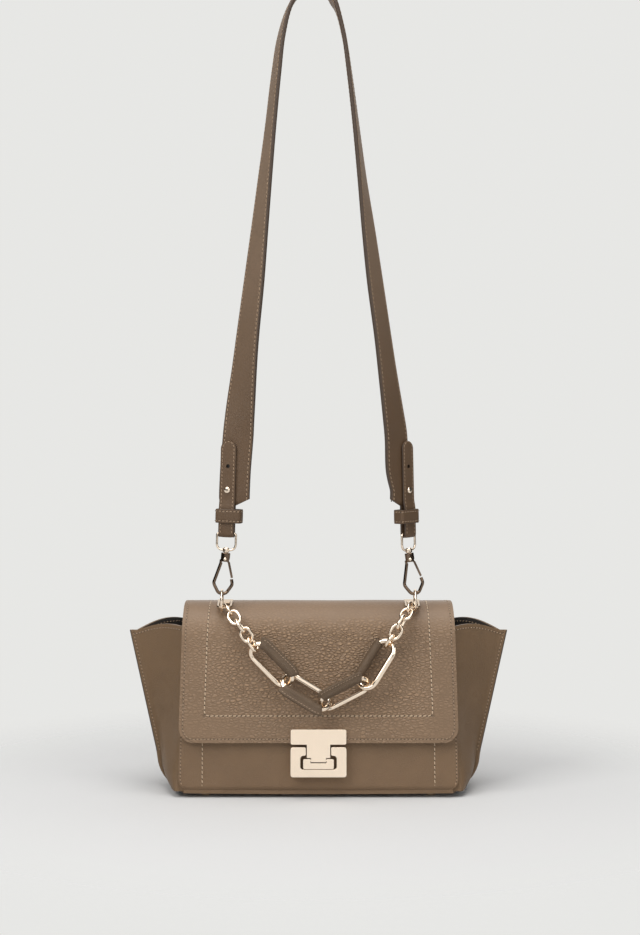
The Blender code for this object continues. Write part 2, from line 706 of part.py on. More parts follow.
def make_base_and_feet():
    base = make_base()
    board_height = FOOT_HEIGHT + BASE_THICKNESS + GAP
    outline = rectangle(BOARD_HALF_LENGTH, -BOARD_HALF_DEPTH, BOARD_HALF_DEPTH, PANEL_CORNER)
    middle = Vector((0.0, 0.0, board_height + BOARD_THICKNESS / 2))
    board = plate("base_board", outline, BOARD_THICKNESS, frame(middle, ACROSS, BACKWARD), BOARD_FINISH)
    head_top = lining_floor() - GAP
    for name, x, y in foot_spots():
        place = Matrix.Translation((x, y, 0.0))
        under = FOOT_HEIGHT - GAP
        profile = [
            (0.0, head_top),
            (FOOT_HEAD_RADIUS, head_top),
            (FOOT_HEAD_RADIUS, head_top - FOOT_HEAD_HEIGHT),
            (FOOT_SHANK_RADIUS, head_top - FOOT_HEAD_HEIGHT),
            (FOOT_SHANK_RADIUS, under),
            (FOOT_RADIUS, under),
            (FOOT_RADIUS, 2 * FOOT_EDGE),
            (FOOT_RADIUS - FOOT_EDGE / 2, FOOT_EDGE / 2),
            (FOOT_RADIUS - 2 * FOOT_EDGE, 0.0),
            (0.0, 0.0),
        ]
        lathe(name, profile, place, GOLD_FINISH)
        bore = cylinder(
            name + "_bore",
            FOOT_SHANK_RADIUS + FOOT_HOLE_CLEARANCE,
            FOOT_HEIGHT,
            Matrix.Translation((x, y, FOOT_HEIGHT + BASE_THICKNESS)),
        )
        boolean(base, bore, "DIFFERENCE")
        seat = lathe(
            name + "_seat",
            [
                (0.0, head_top + FOOT_HEIGHT),
                (FOOT_HEAD_RADIUS + FOOT_HOLE_CLEARANCE, head_top + FOOT_HEIGHT),
                (FOOT_HEAD_RADIUS + FOOT_HOLE_CLEARANCE, head_top - FOOT_HEAD_HEIGHT - GAP),
                (FOOT_SHANK_RADIUS + FOOT_HOLE_CLEARANCE, head_top - FOOT_HEAD_HEIGHT - GAP),
                (FOOT_SHANK_RADIUS + FOOT_HOLE_CLEARANCE, 0.0),
                (0.0, 0.0),
            ],
            place,
            None,
            collection=CUTTERS,
        )
        boolean(board, seat, "DIFFERENCE")


def flap_line():
    """The flap's outer face from the hinge, over the crown and shoulder, to its bottom edge."""
    corners = [
        Vector((0.0, HINGE_DEPTH, HINGE_HEIGHT + GAP)),
        Vector((0.0, HINGE_DEPTH - GAP, FLAP_CROWN_HEIGHT)),
        Vector((0.0, -FLAP_SHOULDER_DEPTH, FLAP_CROWN_HEIGHT)),
        Vector((0.0, -FLAP_BOTTOM_DEPTH, FLAP_BOTTOM_HEIGHT)),
    ]
    return rounded_path(corners, [0.0, FLAP_BACK_BEND, FLAP_SHOULDER_BEND, 0.0], steps=10)


FLAP_LEAN = math.atan2(FLAP_BOTTOM_DEPTH - FLAP_SHOULDER_DEPTH, FLAP_CROWN_HEIGHT - FLAP_BOTTOM_HEIGHT)
FLAP_UP = Vector((0.0, math.sin(FLAP_LEAN), math.cos(FLAP_LEAN)))
FLAP_OUT = Vector((0.0, -math.cos(FLAP_LEAN), math.sin(FLAP_LEAN)))
FLAP_EDGE = Vector((0.0, -FLAP_BOTTOM_DEPTH, FLAP_BOTTOM_HEIGHT))


def shoulder_centre():
    """The centre of the flap's shoulder arc."""
    reach = FLAP_SHOULDER_BEND
    behind = reach * math.tan(math.pi / 4 - FLAP_LEAN / 2)
    return Vector((0.0, -FLAP_SHOULDER_DEPTH + behind, FLAP_CROWN_HEIGHT - reach))


def flap_front(height):
    """The depth of the flap's outer face at a height of its flat front."""
    return -FLAP_BOTTOM_DEPTH + (height - FLAP_BOTTOM_HEIGHT) * math.tan(FLAP_LEAN)


def lengths_along(points):
    run = [0.0]
    for a, b in zip(points, points[1:]):
        run.append(run[-1] + (b - a).length)
    return run


def flap_rows(inward, side_inset, start, end_inset):
    """Rows of points across the flap, offset inwards, rounded at the two lower corners."""
    line = flap_line()
    shifted = []
    for i, point in enumerate(line):
        before = line[max(i - 1, 0)]
        after = line[min(i + 1, len(line) - 1)]
        along = (after - before).normalized()
        shifted.append(point + ACROSS.cross(along) * inward)
    run = lengths_along(shifted)
    total = run[-1] - end_inset
    corner = FLAP_CORNER - side_inset / 2
    stops = [s for s in run if start < s < total - corner - corner / 4]
    stops = [start] + stops + [total - corner + corner * math.sin(math.radians(a)) for a in FLAP_CORNER_TURNS]
    rows = []
    for stop in stops:
        centre = Vector(
            (0.0, table(run, [p.y for p in shifted], stop), table(run, [p.z for p in shifted], stop))
        )
        share = stop / run[-1]
        half = FLAP_TOP_HALF_WIDTH + (FLAP_BOTTOM_HALF_WIDTH - FLAP_TOP_HALF_WIDTH) * share - side_inset
        past = max(stop - (total - corner), 0.0)
        half -= corner - math.sqrt(max(corner * corner - past * past, 0.0))
        rows.append([centre + ACROSS * half * share_x for share_x in FLAP_ACROSS_SHARES])
    return rows


def make_flap():
    sheet("flap", flap_rows(0.0, 0.0, 0.0, 0.0), FLAP_THICKNESS, LEATHER_FINISH)
    rows = flap_rows(FLAP_THICKNESS + GAP, FLAP_LINING_INSET, FLAP_LINING_START, FLAP_LINING_INSET)
    sheet("flap_lining", rows, FLAP_LINING_THICKNESS, LINING_FINISH)


def on_flap(x, up, out):
    """A point given across, up from the flap's bottom edge and out from its face."""
    return FLAP_EDGE + ACROSS * x + FLAP_UP * up + FLAP_OUT * out


def make_clasp():
    middle = GAP + CLASP_THICKNESS / 2
    place = frame(on_flap(0.0, 0.0, middle), ACROSS, FLAP_UP)
    shape = [
        (-CLASP_PLATE_HALF_WIDTH, CLASP_PLATE_BOTTOM),
        (-STEM_HALF_WIDTH, CLASP_PLATE_BOTTOM),
        (-STEM_HALF_WIDTH, STEM_BOTTOM),
        (-TONGUE_HALF_WIDTH, STEM_BOTTOM),
        (-TONGUE_HALF_WIDTH, PIVOT_DROP - TONGUE_ROUND),
        (TONGUE_HALF_WIDTH, PIVOT_DROP - TONGUE_ROUND),
        (TONGUE_HALF_WIDTH, STEM_BOTTOM),
        (STEM_HALF_WIDTH, STEM_BOTTOM),
        (STEM_HALF_WIDTH, CLASP_PLATE_BOTTOM),
        (CLASP_PLATE_HALF_WIDTH, CLASP_PLATE_BOTTOM),
        (CLASP_PLATE_HALF_WIDTH, CLASP_PLATE_TOP),
        (-CLASP_PLATE_HALF_WIDTH, CLASP_PLATE_TOP),
    ]
    bends = [CLASP_CORNER / 4] * len(shape)
    for i in (0, 9, 10, 11):
        bends[i] = CLASP_CORNER
    outline = rounded_path([Vector((x, y, 0.0)) for x, y in shape], bends, steps=2, closed=True)
    clasp = plate("clasp_plate", outline, CLASP_THICKNESS, place, GOLD_FINISH)
    pivot = on_flap(0.0, PIVOT_DROP, middle)
    across_x = frame(pivot, BACKWARD, UPWARD)
    bore = cylinder("clasp_bore", PIN_RADIUS + PIN_CLEARANCE, CATCH_HALF_WIDTH, across_x)
    boolean(clasp, bore, "DIFFERENCE")
    cylinder("latch_pin", PIN_RADIUS, PIN_HALF_LENGTH, across_x, GOLD_FINISH, PARTS)

    notch = TONGUE_HALF_WIDTH + GAP
    notch_floor = PIVOT_DROP - math.hypot(TONGUE_ROUND, CLASP_THICKNESS / 2) - GAP
    bar = [
        (-BAR_HALF_WIDTH, BAR_BOTTOM),
        (BAR_HALF_WIDTH, BAR_BOTTOM),
        (BAR_HALF_WIDTH, BAR_TOP),
        (notch, BAR_TOP),
        (notch, notch_floor),
        (-notch, notch_floor),
        (-notch, BAR_TOP),
        (-BAR_HALF_WIDTH, BAR_TOP),
    ]
    bends = [BAR_CORNER] * 3 + [CLASP_CORNER / 4] * 4 + [BAR_CORNER]
    outline = rounded_path([Vector((x, y, 0.0)) for x, y in bar], bends, steps=2, closed=True)
    latch = plate("latch_bar", outline, CLASP_THICKNESS, place, GOLD_FINISH)
    bore = cylinder("latch_bore", PIN_RADIUS + PIN_CLEARANCE, CATCH_HALF_WIDTH, across_x)
    boolean(with_origin(latch, pivot), bore, "DIFFERENCE")

    backing = -(FLAP_THICKNESS + FLAP_LINING_THICKNESS + 2 * GAP + BACKING_THICKNESS / 2)
    outline = rectangle(CLASP_PLATE_HALF_WIDTH - BACKING_INSET, BACKING_INSET, CLASP_PLATE_TOP, CLASP_CORNER)
    place = frame(on_flap(0.0, 0.0, backing), ACROSS, FLAP_UP)
    plate("clasp_back_plate", outline, BACKING_THICKNESS, place, GOLD_FINISH)


def make_catch():
    """The slotted catch on the front panel and the backing plate inside it."""
    shape = [
        (-CATCH_HALF_WIDTH, CATCH_BOTTOM),
        (CATCH_HALF_WIDTH, CATCH_BOTTOM),
        (CATCH_HALF_WIDTH, CATCH_TOP),
        (SLOT_MOUTH_HALF_WIDTH, CATCH_TOP),
        (SLOT_MOUTH_HALF_WIDTH, SLOT_TOP),
        (SLOT_HALF_WIDTH, SLOT_TOP),
        (SLOT_HALF_WIDTH, SLOT_BOTTOM),
        (-SLOT_HALF_WIDTH, SLOT_BOTTOM),
        (-SLOT_HALF_WIDTH, SLOT_TOP),
        (-SLOT_MOUTH_HALF_WIDTH, SLOT_TOP),
        (-SLOT_MOUTH_HALF_WIDTH, CATCH_TOP),
        (-CATCH_HALF_WIDTH, CATCH_TOP),
    ]
    small = CLASP_CORNER
    bends = [CATCH_CORNER] * 3 + [small, small] + [SLOT_CORNER] * 4 + [small, small, CATCH_CORNER]
    outline = rounded_path([Vector((x, y, 0.0)) for x, y in shape], bends, steps=3, closed=True)
    front = GAP + CLASP_THICKNESS - CATCH_RECESS
    lowest = on_flap(0.0, CATCH_BOTTOM, 0.0)
    highest = on_flap(0.0, CATCH_TOP, 0.0)
    room = min(panel_gap(lowest), panel_gap(highest))
    depth = front + room - GAP
    place = frame(on_flap(0.0, 0.0, front - depth / 2), ACROSS, FLAP_UP)
    plate("catch_plate", outline, depth, place, GOLD_FINISH)
    behind = PANEL_THICKNESS + 3 * GAP + BACKING_THICKNESS / 2
    inside = Vector((0.0, -panel_depth(highest.z) + behind, highest.z))
    up = Vector((0.0, math.sin(PANEL_LEAN), math.cos(PANEL_LEAN)))
    low = CATCH_BOTTOM - CATCH_TOP + BACKING_INSET
    outline = rectangle(CATCH_HALF_WIDTH - BACKING_INSET, low, -BACKING_INSET, CATCH_CORNER)
    plate("catch_back_plate", outline, BACKING_THICKNESS, frame(inside, ACROSS, up), GOLD_FINISH)


def panel_gap(spot):
    """How far a point stands in front of the front panel."""
    return (-panel_depth(spot.z) - spot.y) * math.cos(PANEL_LEAN)


def on_shoulder(side_x, angle, out):
    """A point over the flap's shoulder: the angle is measured forward from straight up."""
    turn = math.radians(angle)
    outward = Vector((0.0, -math.sin(turn), math.cos(turn)))
    return shoulder_centre() + ACROSS * side_x + outward * (FLAP_SHOULDER_BEND + out)


def anchor_front(side):
    return on_shoulder(side * ANCHOR_SPREAD, ANCHOR_FRONT_ANGLE, ANCHOR_STAND_OFF)


def make_anchor(side):
    x = side * ANCHOR_SPREAD
    turn = math.radians(ANCHOR_PLATE_ANGLE)
    back = Vector((0.0, math.cos(turn), math.sin(turn)))
    seat = GAP + ANCHOR_PLATE_THICKNESS / 2
    plate_middle = on_shoulder(x, ANCHOR_PLATE_ANGLE, seat)
    half_depth = ANCHOR_PLATE_HALF_DEPTH
    outline = rectangle(ANCHOR_PLATE_HALF_WIDTH, -half_depth, half_depth, CLASP_CORNER)
    name = SIDE_NAMES[side] + "_anchor"
    anchor = plate(name, outline, ANCHOR_PLATE_THICKNESS, frame(plate_middle, ACROSS, back), GOLD_FINISH)
    front = anchor_front(side)
    rear = on_shoulder(x, ANCHOR_PLATE_ANGLE, seat + ANCHOR_PLATE_THICKNESS / 4)
    corners = [
        rear - ACROSS * ANCHOR_LOOP_HALF_WIDTH,
        front - ACROSS * ANCHOR_LOOP_HALF_WIDTH,
        front + ACROSS * ANCHOR_LOOP_HALF_WIDTH,
        rear + ACROSS * ANCHOR_LOOP_HALF_WIDTH,
    ]
    line = rounded_path(corners, [0.0, ANCHOR_LOOP_BEND, ANCHOR_LOOP_BEND, 0.0], steps=5)
    loop = as_mesh(tube(name + "_loop", line, ANCHOR_WIRE, None))
    boolean(anchor, loop, "UNION")


def stadium(length, width, arc_steps):
    """The centre line of a straight-sided link, lengthwise along X and across along Y."""
    bend = width / 2
    reach = length / 2 - bend
    points = []
    for end in (1, -1):
        for step in range(arc_steps + 1):
            turn = math.pi * (step / arc_steps - 1 / 2)
            points.append(Vector((end * (reach + bend * math.cos(turn)), end * bend * math.sin(turn), 0.0)))
    return points


def link_frame(start, end, outward, roll):
    """The place of a link between two contact points: roll 0 lies flat and 90 stands on edge."""
    along = (end - start).normalized()
    flat = (outward - along * outward.dot(along)).normalized()
    aside = flat.cross(along)
    turn = math.radians(roll)
    width_way = aside * math.cos(turn) + flat * math.sin(turn)
    face_way = along.cross(width_way)
    middle = (start + end) / 2
    return Matrix.Translation(middle) @ Matrix((along, width_way, face_way)).transposed().to_4x4()


def link(name, place, outer_length, width, wire, arc_steps, sides_level):
    line = stadium(outer_length - 2 * wire, width - 2 * wire, arc_steps)
    made = tube(name, line, wire, GOLD_FINISH, cyclic=True, sides_level=sides_level)
    made.matrix_world = place
    return made


def large_points():
    """The contact points of the large links, left to right, in front of the flap."""
    x = -LARGE_START_ASIDE
    height = FLAP_CROWN_HEIGHT - LARGE_START_DROP
    points = []
    for heading in (None, *LARGE_HEADINGS):
        if heading is not None:
            x += LARGE_PITCH * math.cos(math.radians(heading))
            height += LARGE_PITCH * math.sin(math.radians(heading)) * math.cos(FLAP_LEAN)
        spot = Vector((x, flap_front(height), height)) + FLAP_OUT * LARGE_STAND_OFF
        points.append(spot)
    return points


def make_large_links():
    points = large_points()
    length = LARGE_PITCH + 4 * LARGE_WIRE + LONG_LINK_SLACK
    for i, roll in enumerate(LARGE_ROLLS):
        place = link_frame(points[i], points[i + 1], FLAP_OUT, roll)
        link(f"large_link_{i + 1}", place, length, LARGE_WIDTH, LARGE_WIRE, 8, 3)
        make_sleeve(f"link_sleeve_{i + 1}", place, length, SLEEVE_SIDES[i])


def sleeve_section(normal, flat):
    """Outer and bore points of a sleeve's section, with the stitched flange along its outer side."""
    outer = []
    for step in range(SLEEVE_STEPS):
        turn = 2 * math.pi * step / SLEEVE_STEPS
        outer.append(normal * (SLEEVE_RADIUS * math.cos(turn)) + flat * (SLEEVE_RADIUS * math.sin(turn)))
    reach = SLEEVE_RADIUS + SLEEVE_FLANGE
    outer[0] = normal * reach + flat * SLEEVE_FLANGE_HALF
    outer[-1] = normal * reach - flat * SLEEVE_FLANGE_HALF
    bore = [p.normalized() * SLEEVE_BORE for p in outer]
    return outer, bore


def make_sleeve(name, place, outer_length, side):
    """Leather folded round one long side of a link and part of both ends."""
    bend = LARGE_WIDTH / 2 - LARGE_WIRE
    reach = outer_length / 2 - LARGE_WIRE - bend
    spots = []
    for step in range(4):
        turn = math.radians(SLEEVE_END_TURN) * (1 - step / 3)
        spots.append((-reach - bend * math.sin(turn), bend * math.cos(turn), -turn))
    for step in range(4):
        turn = math.radians(SLEEVE_END_TURN) * step / 3
        spots.append((reach + bend * math.sin(turn), bend * math.cos(turn), turn))
    rows = []
    for x, y, turn in spots:
        centre = Vector((x, side * y, 0.0))
        normal = Vector((math.sin(turn), side * math.cos(turn), 0.0))
        flat = Vector((0.0, 0.0, 1.0))
        outer, bore = sleeve_section(normal, flat)
        rows.append([place @ (centre + p) for p in outer + bore])
    vertices = [p for row in rows for p in row]
    around = SLEEVE_STEPS
    faces = []
    for r in range(len(rows) - 1):
        for c in range(around):
            following = (c + 1) % around
            for layer in (0, around):
                corners = ((r, c), (r, following), (r + 1, following), (r + 1, c))
                faces.append(tuple(k * 2 * around + layer + d for k, d in corners))
    for r in (0, len(rows) - 1):
        for c in range(around):
            following = (c + 1) % around
            start = r * 2 * around
            faces.append((start + c, start + following, start + around + following, start + around + c))
    made = mesh_object(name, vertices, faces, LEATHER_FINISH)
    with_origin(made, place.translation)


def run_points(start, end, aside):
    """Contact points of a run of small links that sags between two ends."""
    chord = end - start
    wanted = chord.length / SMALL_PITCH
    low, high = 0.0, math.pi / SMALL_COUNT
    for _ in range(60):
        half_turn = (low + high) / 2
        spanned = math.sin(SMALL_COUNT * half_turn) / math.sin(half_turn) if half_turn else SMALL_COUNT
        if spanned > wanted:
            low = half_turn
        else:
            high = half_turn
    along = chord.normalized()
    sag = aside - along * aside.dot(along)
    sag.normalize()
    points = [start.copy()]
    for i in range(SMALL_COUNT):
        turn = (SMALL_COUNT - 1 - 2 * i) * half_turn
        points.append(points[-1] + (along * math.cos(turn) + sag * math.sin(turn)) * SMALL_PITCH)
    return points


def make_small_links(side):
    ends = large_points()
    large_end = ends[0] if side == LEFT else ends[-1]
    arc = anchor_front(side) - ACROSS * side * SIDE_BY_SIDE
    heading = (large_end - arc).normalized()
    start = arc - heading * (ANCHOR_WIRE + CHAIN_SLACK / 2)
    aside = FLAP_OUT * RUN_OUTWARD_SHARE + ACROSS * side * RUN_ASIDE_SHARES[side] + UPWARD * RUN_LIFT_SHARE
    points = run_points(start, large_end, aside)
    length = SMALL_PITCH + 4 * SMALL_WIRE + CHAIN_SLACK
    for i in range(SMALL_COUNT):
        outward = points[i] + points[i + 1] - 2 * shoulder_centre()
        outward.x = 0.0
        place = link_frame(points[i], points[i + 1], outward, SMALL_ROLLS[i % len(SMALL_ROLLS)])
        link(f"{SIDE_NAMES[side]}_link_{i + 1}", place, length, SMALL_WIDTH, SMALL_WIRE, 6, 1)


def ring_centre(side):
    """The middle of a strap ring, pulled upwards against the anchor loop."""
    arc = anchor_front(side) + ACROSS * side * SIDE_BY_SIDE
    return arc + UPWARD * (RING_RADIUS - ANCHOR_WIRE - RING_WIRE - JOINT_GAP)


def make_ring(side):
    steps = 22
    points = []
    for step in range(steps):
        turn = 2 * math.pi * step / steps
        points.append(Vector((0.0, math.cos(turn), math.sin(turn))) * RING_RADIUS)
    made = tube(SIDE_NAMES[side] + "_ring", points, RING_WIRE, GOLD_FINISH, cyclic=True)
    made.location = ring_centre(side)


def hook_frame(side):
    """Origin at the hook's lowest wire, Y up along the hook, which faces straight forward."""
    lean = math.radians(HOOK_LEANS[side])
    up = Vector((-side * math.sin(lean), 0.0, math.cos(lean)))
    top = ring_centre(side) + UPWARD * (RING_RADIUS - RING_WIRE - JOINT_GAP - HOOK_WIRE)
    return frame(top, up.cross(-BACKWARD), up)


def hanger_frame(side):
    """Y up along the strap's end and Z to its front, with the swivel's boss as high as in the hook's place."""
    lean = math.radians(END_LEANS[side])
    turn = math.radians(END_TURNS[side])
    up = Vector((-side * math.sin(lean), 0.0, math.cos(lean)))
    front = Vector((side * math.sin(turn), -math.cos(turn), 0.0))
    boss = hook_frame(side) @ Vector((0.0, boss_middle(), 0.0))
    return frame(boss - up * boss_middle(), up.cross(front), up)


def boss_middle():
    return HOOK_COLLAR_TOP + GAP + SWIVEL_BOSS_HEIGHT / 2


def hook_line():
    """The hook's wire from inside its collar, down the fixed side, round the bottom, to the nose."""
    wall = (HOOK_COLLAR_RADIUS + COLLAR_BORE) / 2
    corners = [
        Vector((-wall, HOOK_COLLAR_BOTTOM + HOOK_WIRE, 0.0)),
        Vector((-wall, HOOK_COLLAR_BOTTOM - HOOK_WIRE, 0.0)),
        Vector((-HOOK_WIDE_HALF, HOOK_WIDE_HEIGHT, 0.0)),
        Vector((-HOOK_BOTTOM_HALF, 0.0, 0.0)),
        Vector((HOOK_BOTTOM_HALF, 0.0, 0.0)),
        Vector((HOOK_WIDE_HALF, HOOK_WIDE_HEIGHT, 0.0)),
        Vector((nose_reach(), NOSE_HEIGHT, 0.0)),
    ]
    bends = [0.0, HOOK_BEND, HOOK_BEND, HOOK_BEND, HOOK_BEND, HOOK_BEND, 0.0]
    return rounded_path(corners, bends, steps=3)


def nose_reach():
    wall = (HOOK_COLLAR_RADIUS + COLLAR_BORE) / 2
    share = (NOSE_HEIGHT - HOOK_WIDE_HEIGHT) / (HOOK_COLLAR_BOTTOM - HOOK_WIDE_HEIGHT)
    return HOOK_WIDE_HALF + (wall - HOOK_WIDE_HALF) * share


def collar_frame(place):
    """The hook's place turned so that its Z runs up the swivel axis."""
    return place @ Matrix.Rotation(-math.pi / 2, 4, "X")


def make_hook(side):
    name = SIDE_NAMES[side]
    place = hook_frame(side)
    upright = collar_frame(place)
    profile = [
        (0.0, HOOK_COLLAR_TOP),
        (HOOK_COLLAR_RADIUS - HOOK_WIRE / 4, HOOK_COLLAR_TOP),
        (HOOK_COLLAR_RADIUS, HOOK_COLLAR_TOP - HOOK_WIRE / 4),
        (HOOK_COLLAR_RADIUS, HOOK_COLLAR_BOTTOM),
        (0.0, HOOK_COLLAR_BOTTOM),
    ]
    hook = lathe(name + "_hook", profile, upright @ seam_turn(COLLAR_SEAM), GOLD_FINISH, steps=16)
    wire = tube(name + "_hook_wire", hook_line(), HOOK_WIRE, None)
    wire.matrix_world = place
    boolean(hook, as_mesh(wire), "UNION")
    hollow = [
        (0.0, HOOK_COLLAR_TOP + HOOK_WIRE),
        (COLLAR_MOUTH, HOOK_COLLAR_TOP + HOOK_WIRE),
        (COLLAR_MOUTH, HOOK_COLLAR_TOP - COLLAR_ROOF),
        (COLLAR_BORE, HOOK_COLLAR_TOP - COLLAR_ROOF),
        (COLLAR_BORE, HOOK_COLLAR_BOTTOM - COLLAR_WINDOW),
        (0.0, HOOK_COLLAR_BOTTOM - COLLAR_WINDOW),
    ]
    core = lathe(name + "_hollow", hollow, upright @ seam_turn(HOLLOW_SEAM), None, collection=CUTTERS)
    boolean(hook, core, "DIFFERENCE")
    slot_size = (HOOK_COLLAR_RADIUS, GATE_SLOT_HALF_DEPTH, GATE_KNUCKLE + GATE_GAP)
    slot_place = upright @ Matrix.Translation((HOOK_COLLAR_RADIUS, 0.0, HOOK_COLLAR_BOTTOM))
    boolean(hook, box(name + "_gate_slot", slot_size, slot_place), "DIFFERENCE")
    pin_place = place @ Matrix.Translation((0.0, GATE_PIVOT_HEIGHT, 0.0))
    hole = cylinder(name + "_gate_hole", GATE_PIN_RADIUS + GAP, GATE_PIN_HALF_LENGTH * 2, pin_place)
    boolean(hook, hole, "DIFFERENCE")
    cylinder(name + "_gate_pin", GATE_PIN_RADIUS, GATE_PIN_HALF_LENGTH, pin_place, GOLD_FINISH, PARTS)
    make_gate(side, place)
    make_swivel_loop(side)


def seam_turn(degrees):
    return Matrix.Rotation(math.radians(degrees), 4, "Z")


def make_gate(side, place):
    """The sprung gate from its knuckle inside the collar to the hook's nose."""
    pivot = Vector((0.0, GATE_PIVOT_HEIGHT, 0.0))
    nose = Vector((nose_reach(), NOSE_HEIGHT + HOOK_WIRE + GATE_GAP, 0.0))
    elbow = Vector(((HOOK_COLLAR_RADIUS + COLLAR_BORE) / 2, HOOK_COLLAR_BOTTOM - GATE_GAP, 0.0))
    middle_line = [pivot, elbow, nose]
    left_edge, right_edge = [], []
    for i, point in enumerate(middle_line):
        before = middle_line[max(i - 1, 0)]
        after = middle_line[min(i + 1, 2)]
        along = (after - before).normalized()
        aside = Vector((-along.y, along.x, 0.0)) * GATE_HALF_THICKNESS
        left_edge.append(point + aside)
        right_edge.append(point - aside)
    outline = left_edge[1:] + right_edge[:0:-1]
    knuckle = []
    start = (right_edge[1] - pivot).normalized()
    end = (left_edge[1] - pivot).normalized()
    first = math.atan2(start.y, start.x)
    last = math.atan2(end.y, end.x)
    if last < first:
        last += 2 * math.pi
    sweep = last - first
    if sweep < math.pi:
        first, last = last, first + 2 * math.pi
        outline = outline[::-1]
    for step in range(9):
        share = GATE_KNUCKLE_START_SHARE + (1 - 2 * GATE_KNUCKLE_START_SHARE) * step / 8
        turn = first + (last - first) * share
        knuckle.append(pivot + Vector((math.cos(turn), math.sin(turn), 0.0)) * GATE_KNUCKLE)
    name = SIDE_NAMES[side] + "_gate"
    gate = plate(name, outline + knuckle, 2 * GATE_HALF_DEPTH, place, GOLD_FINISH)
    hinge = place @ Matrix.Translation(pivot)
    hole = cylinder(name + "_bore", GATE_PIN_RADIUS + GAP, GATE_PIN_HALF_LENGTH, hinge)
    boolean(with_origin(gate, hinge.translation), hole, "DIFFERENCE")


def make_swivel_loop(side):
    name = SIDE_NAMES[side] + "_swivel_loop"
    low = boss_middle()
    corners = [
        Vector((-SWIVEL_LOOP_HALF_WIDTH, SWIVEL_BAR_HEIGHT, 0.0)),
        Vector((SWIVEL_LOOP_HALF_WIDTH, SWIVEL_BAR_HEIGHT, 0.0)),
        Vector((SWIVEL_LOOP_HALF_WIDTH, low, 0.0)),
        Vector((-SWIVEL_LOOP_HALF_WIDTH, low, 0.0)),
    ]
    tight = SWIVEL_WIRE * SWIVEL_BAR_BEND_SHARE
    line = rounded_path(corners, [tight, tight, SWIVEL_LOOP_BEND, SWIVEL_LOOP_BEND], steps=4, closed=True)
    loop = tube(name, line, SWIVEL_WIRE, GOLD_FINISH, cyclic=True)
    loop.matrix_world = hanger_frame(side)
    loop = as_mesh(loop)
    boss_top = HOOK_COLLAR_TOP + GAP + SWIVEL_BOSS_HEIGHT
    boss_low = HOOK_COLLAR_TOP + GAP
    post_low = HOOK_COLLAR_TOP - COLLAR_ROOF - GAP
    profile = [
        (0.0, boss_top),
        (SWIVEL_BOSS_RADIUS * SWIVEL_BOSS_TOP_SHARE, boss_top),
        (SWIVEL_BOSS_RADIUS, boss_top - SWIVEL_BOSS_HEIGHT / 4),
        (SWIVEL_BOSS_RADIUS, boss_low),
        (SWIVEL_POST_RADIUS, boss_low),
        (SWIVEL_POST_RADIUS, post_low),
        (SWIVEL_HEAD_RADIUS, post_low),
        (SWIVEL_HEAD_RADIUS, post_low - SWIVEL_HEAD_HEIGHT),
        (0.0, post_low - SWIVEL_HEAD_HEIGHT),
    ]
    boss = lathe(name + "_boss", profile, collar_frame(hook_frame(side)), None, collection=CUTTERS)
    boolean(loop, boss, "UNION")


class Station:
    """One cross-section of the strap: its middle, its width direction, its front, and its size."""

    def __init__(self, middle, across, front, width, thickness):
        self.middle = middle
        self.across = across.normalized()
        self.front = front.normalized()
        self.width = width
        self.thickness = thickness

    def corners(self):
        w = self.across * self.width / 2
        t = self.front * self.thickness / 2
        return [self.middle - w - t, self.middle + w - t, self.middle + w + t, self.middle - w + t]


def end_stations(side):
    """Sections from the tab's tip, down the front, round the bar and up behind to the chamfer."""
    place = hanger_frame(side)
    turned = place.to_3x3()
    across, up, front = turned.col[0], turned.col[1], turned.col[2]
    bar = place @ Vector((0.0, SWIVEL_BAR_HEIGHT, 0.0))
    fold = SWIVEL_WIRE + GAP + TAB_THICKNESS / 2
    close = STRAP_THICKNESS / 2 + TAB_THICKNESS / 2 + 2 * GAP - fold
    found = []
    for share in TAB_TIP_SHARES:
        rounded = TAB_WIDTH * math.sqrt(1 - (1 - share) ** 2)
        middle = bar + up * (TAB_LENGTH - share * TAB_WIDTH / 2) + front * close
        found.append(Station(middle, across, front, rounded, TAB_THICKNESS))
    for height, out in (
        (STUD_HEIGHT, close),
        (TAB_SETTLE, close),
        (TAB_SETTLE - KEEPER_CORNER * 2, fold),
        (0.0, fold),
    ):
        found.append(Station(bar + up * height + front * out, across, front, TAB_WIDTH, TAB_THICKNESS))
    for step in range(1, 8):
        turn = math.pi * step / 8
        outward = front * math.cos(turn) - up * math.sin(turn)
        found.append(Station(bar + outward * fold, across, outward, TAB_WIDTH, TAB_THICKNESS))
    for height in (0.0, CHAMFER_START):
        found.append(Station(bar + up * height - front * fold, across, -front, TAB_WIDTH, TAB_THICKNESS))
    return found, bar, across, up, front, fold


def wide_middles(side):
    """Middle points and front directions of the wide band from the chamfer towards the apex."""
    _, bar, across, up, front, fold = end_stations(side)
    inner = across if across.x * side < 0 else -across
    found = []
    for height in (CHAMFER_END, STUD_HEIGHT + STUD_HEAD):
        found.append((bar + up * height - front * fold + inner * TAB_ASIDE, front))
    spreads = LEFT_SPREAD_SHARES if side == LEFT else RIGHT_SPREAD_SHARES
    turns = LEFT_TURNS if side == LEFT else RIGHT_TURNS
    depth = bar.y
    for i, (rise, spread, turn) in enumerate(zip(RISE_SHARES, spreads, turns)):
        x = STRAP_CENTRE + side * spread * STRAP_SPREAD
        angle = math.radians(turn)
        normal = Vector((side * math.sin(angle), -math.cos(angle), 0.0))
        if i < FLAT_STATIONS:
            depth = bar.y - (fold + (x - bar.x) * front.x + rise * STRAP_RISE * front.z) / front.y
        found.append((Vector((x, depth, bar.z + rise * STRAP_RISE)), normal))
    return found


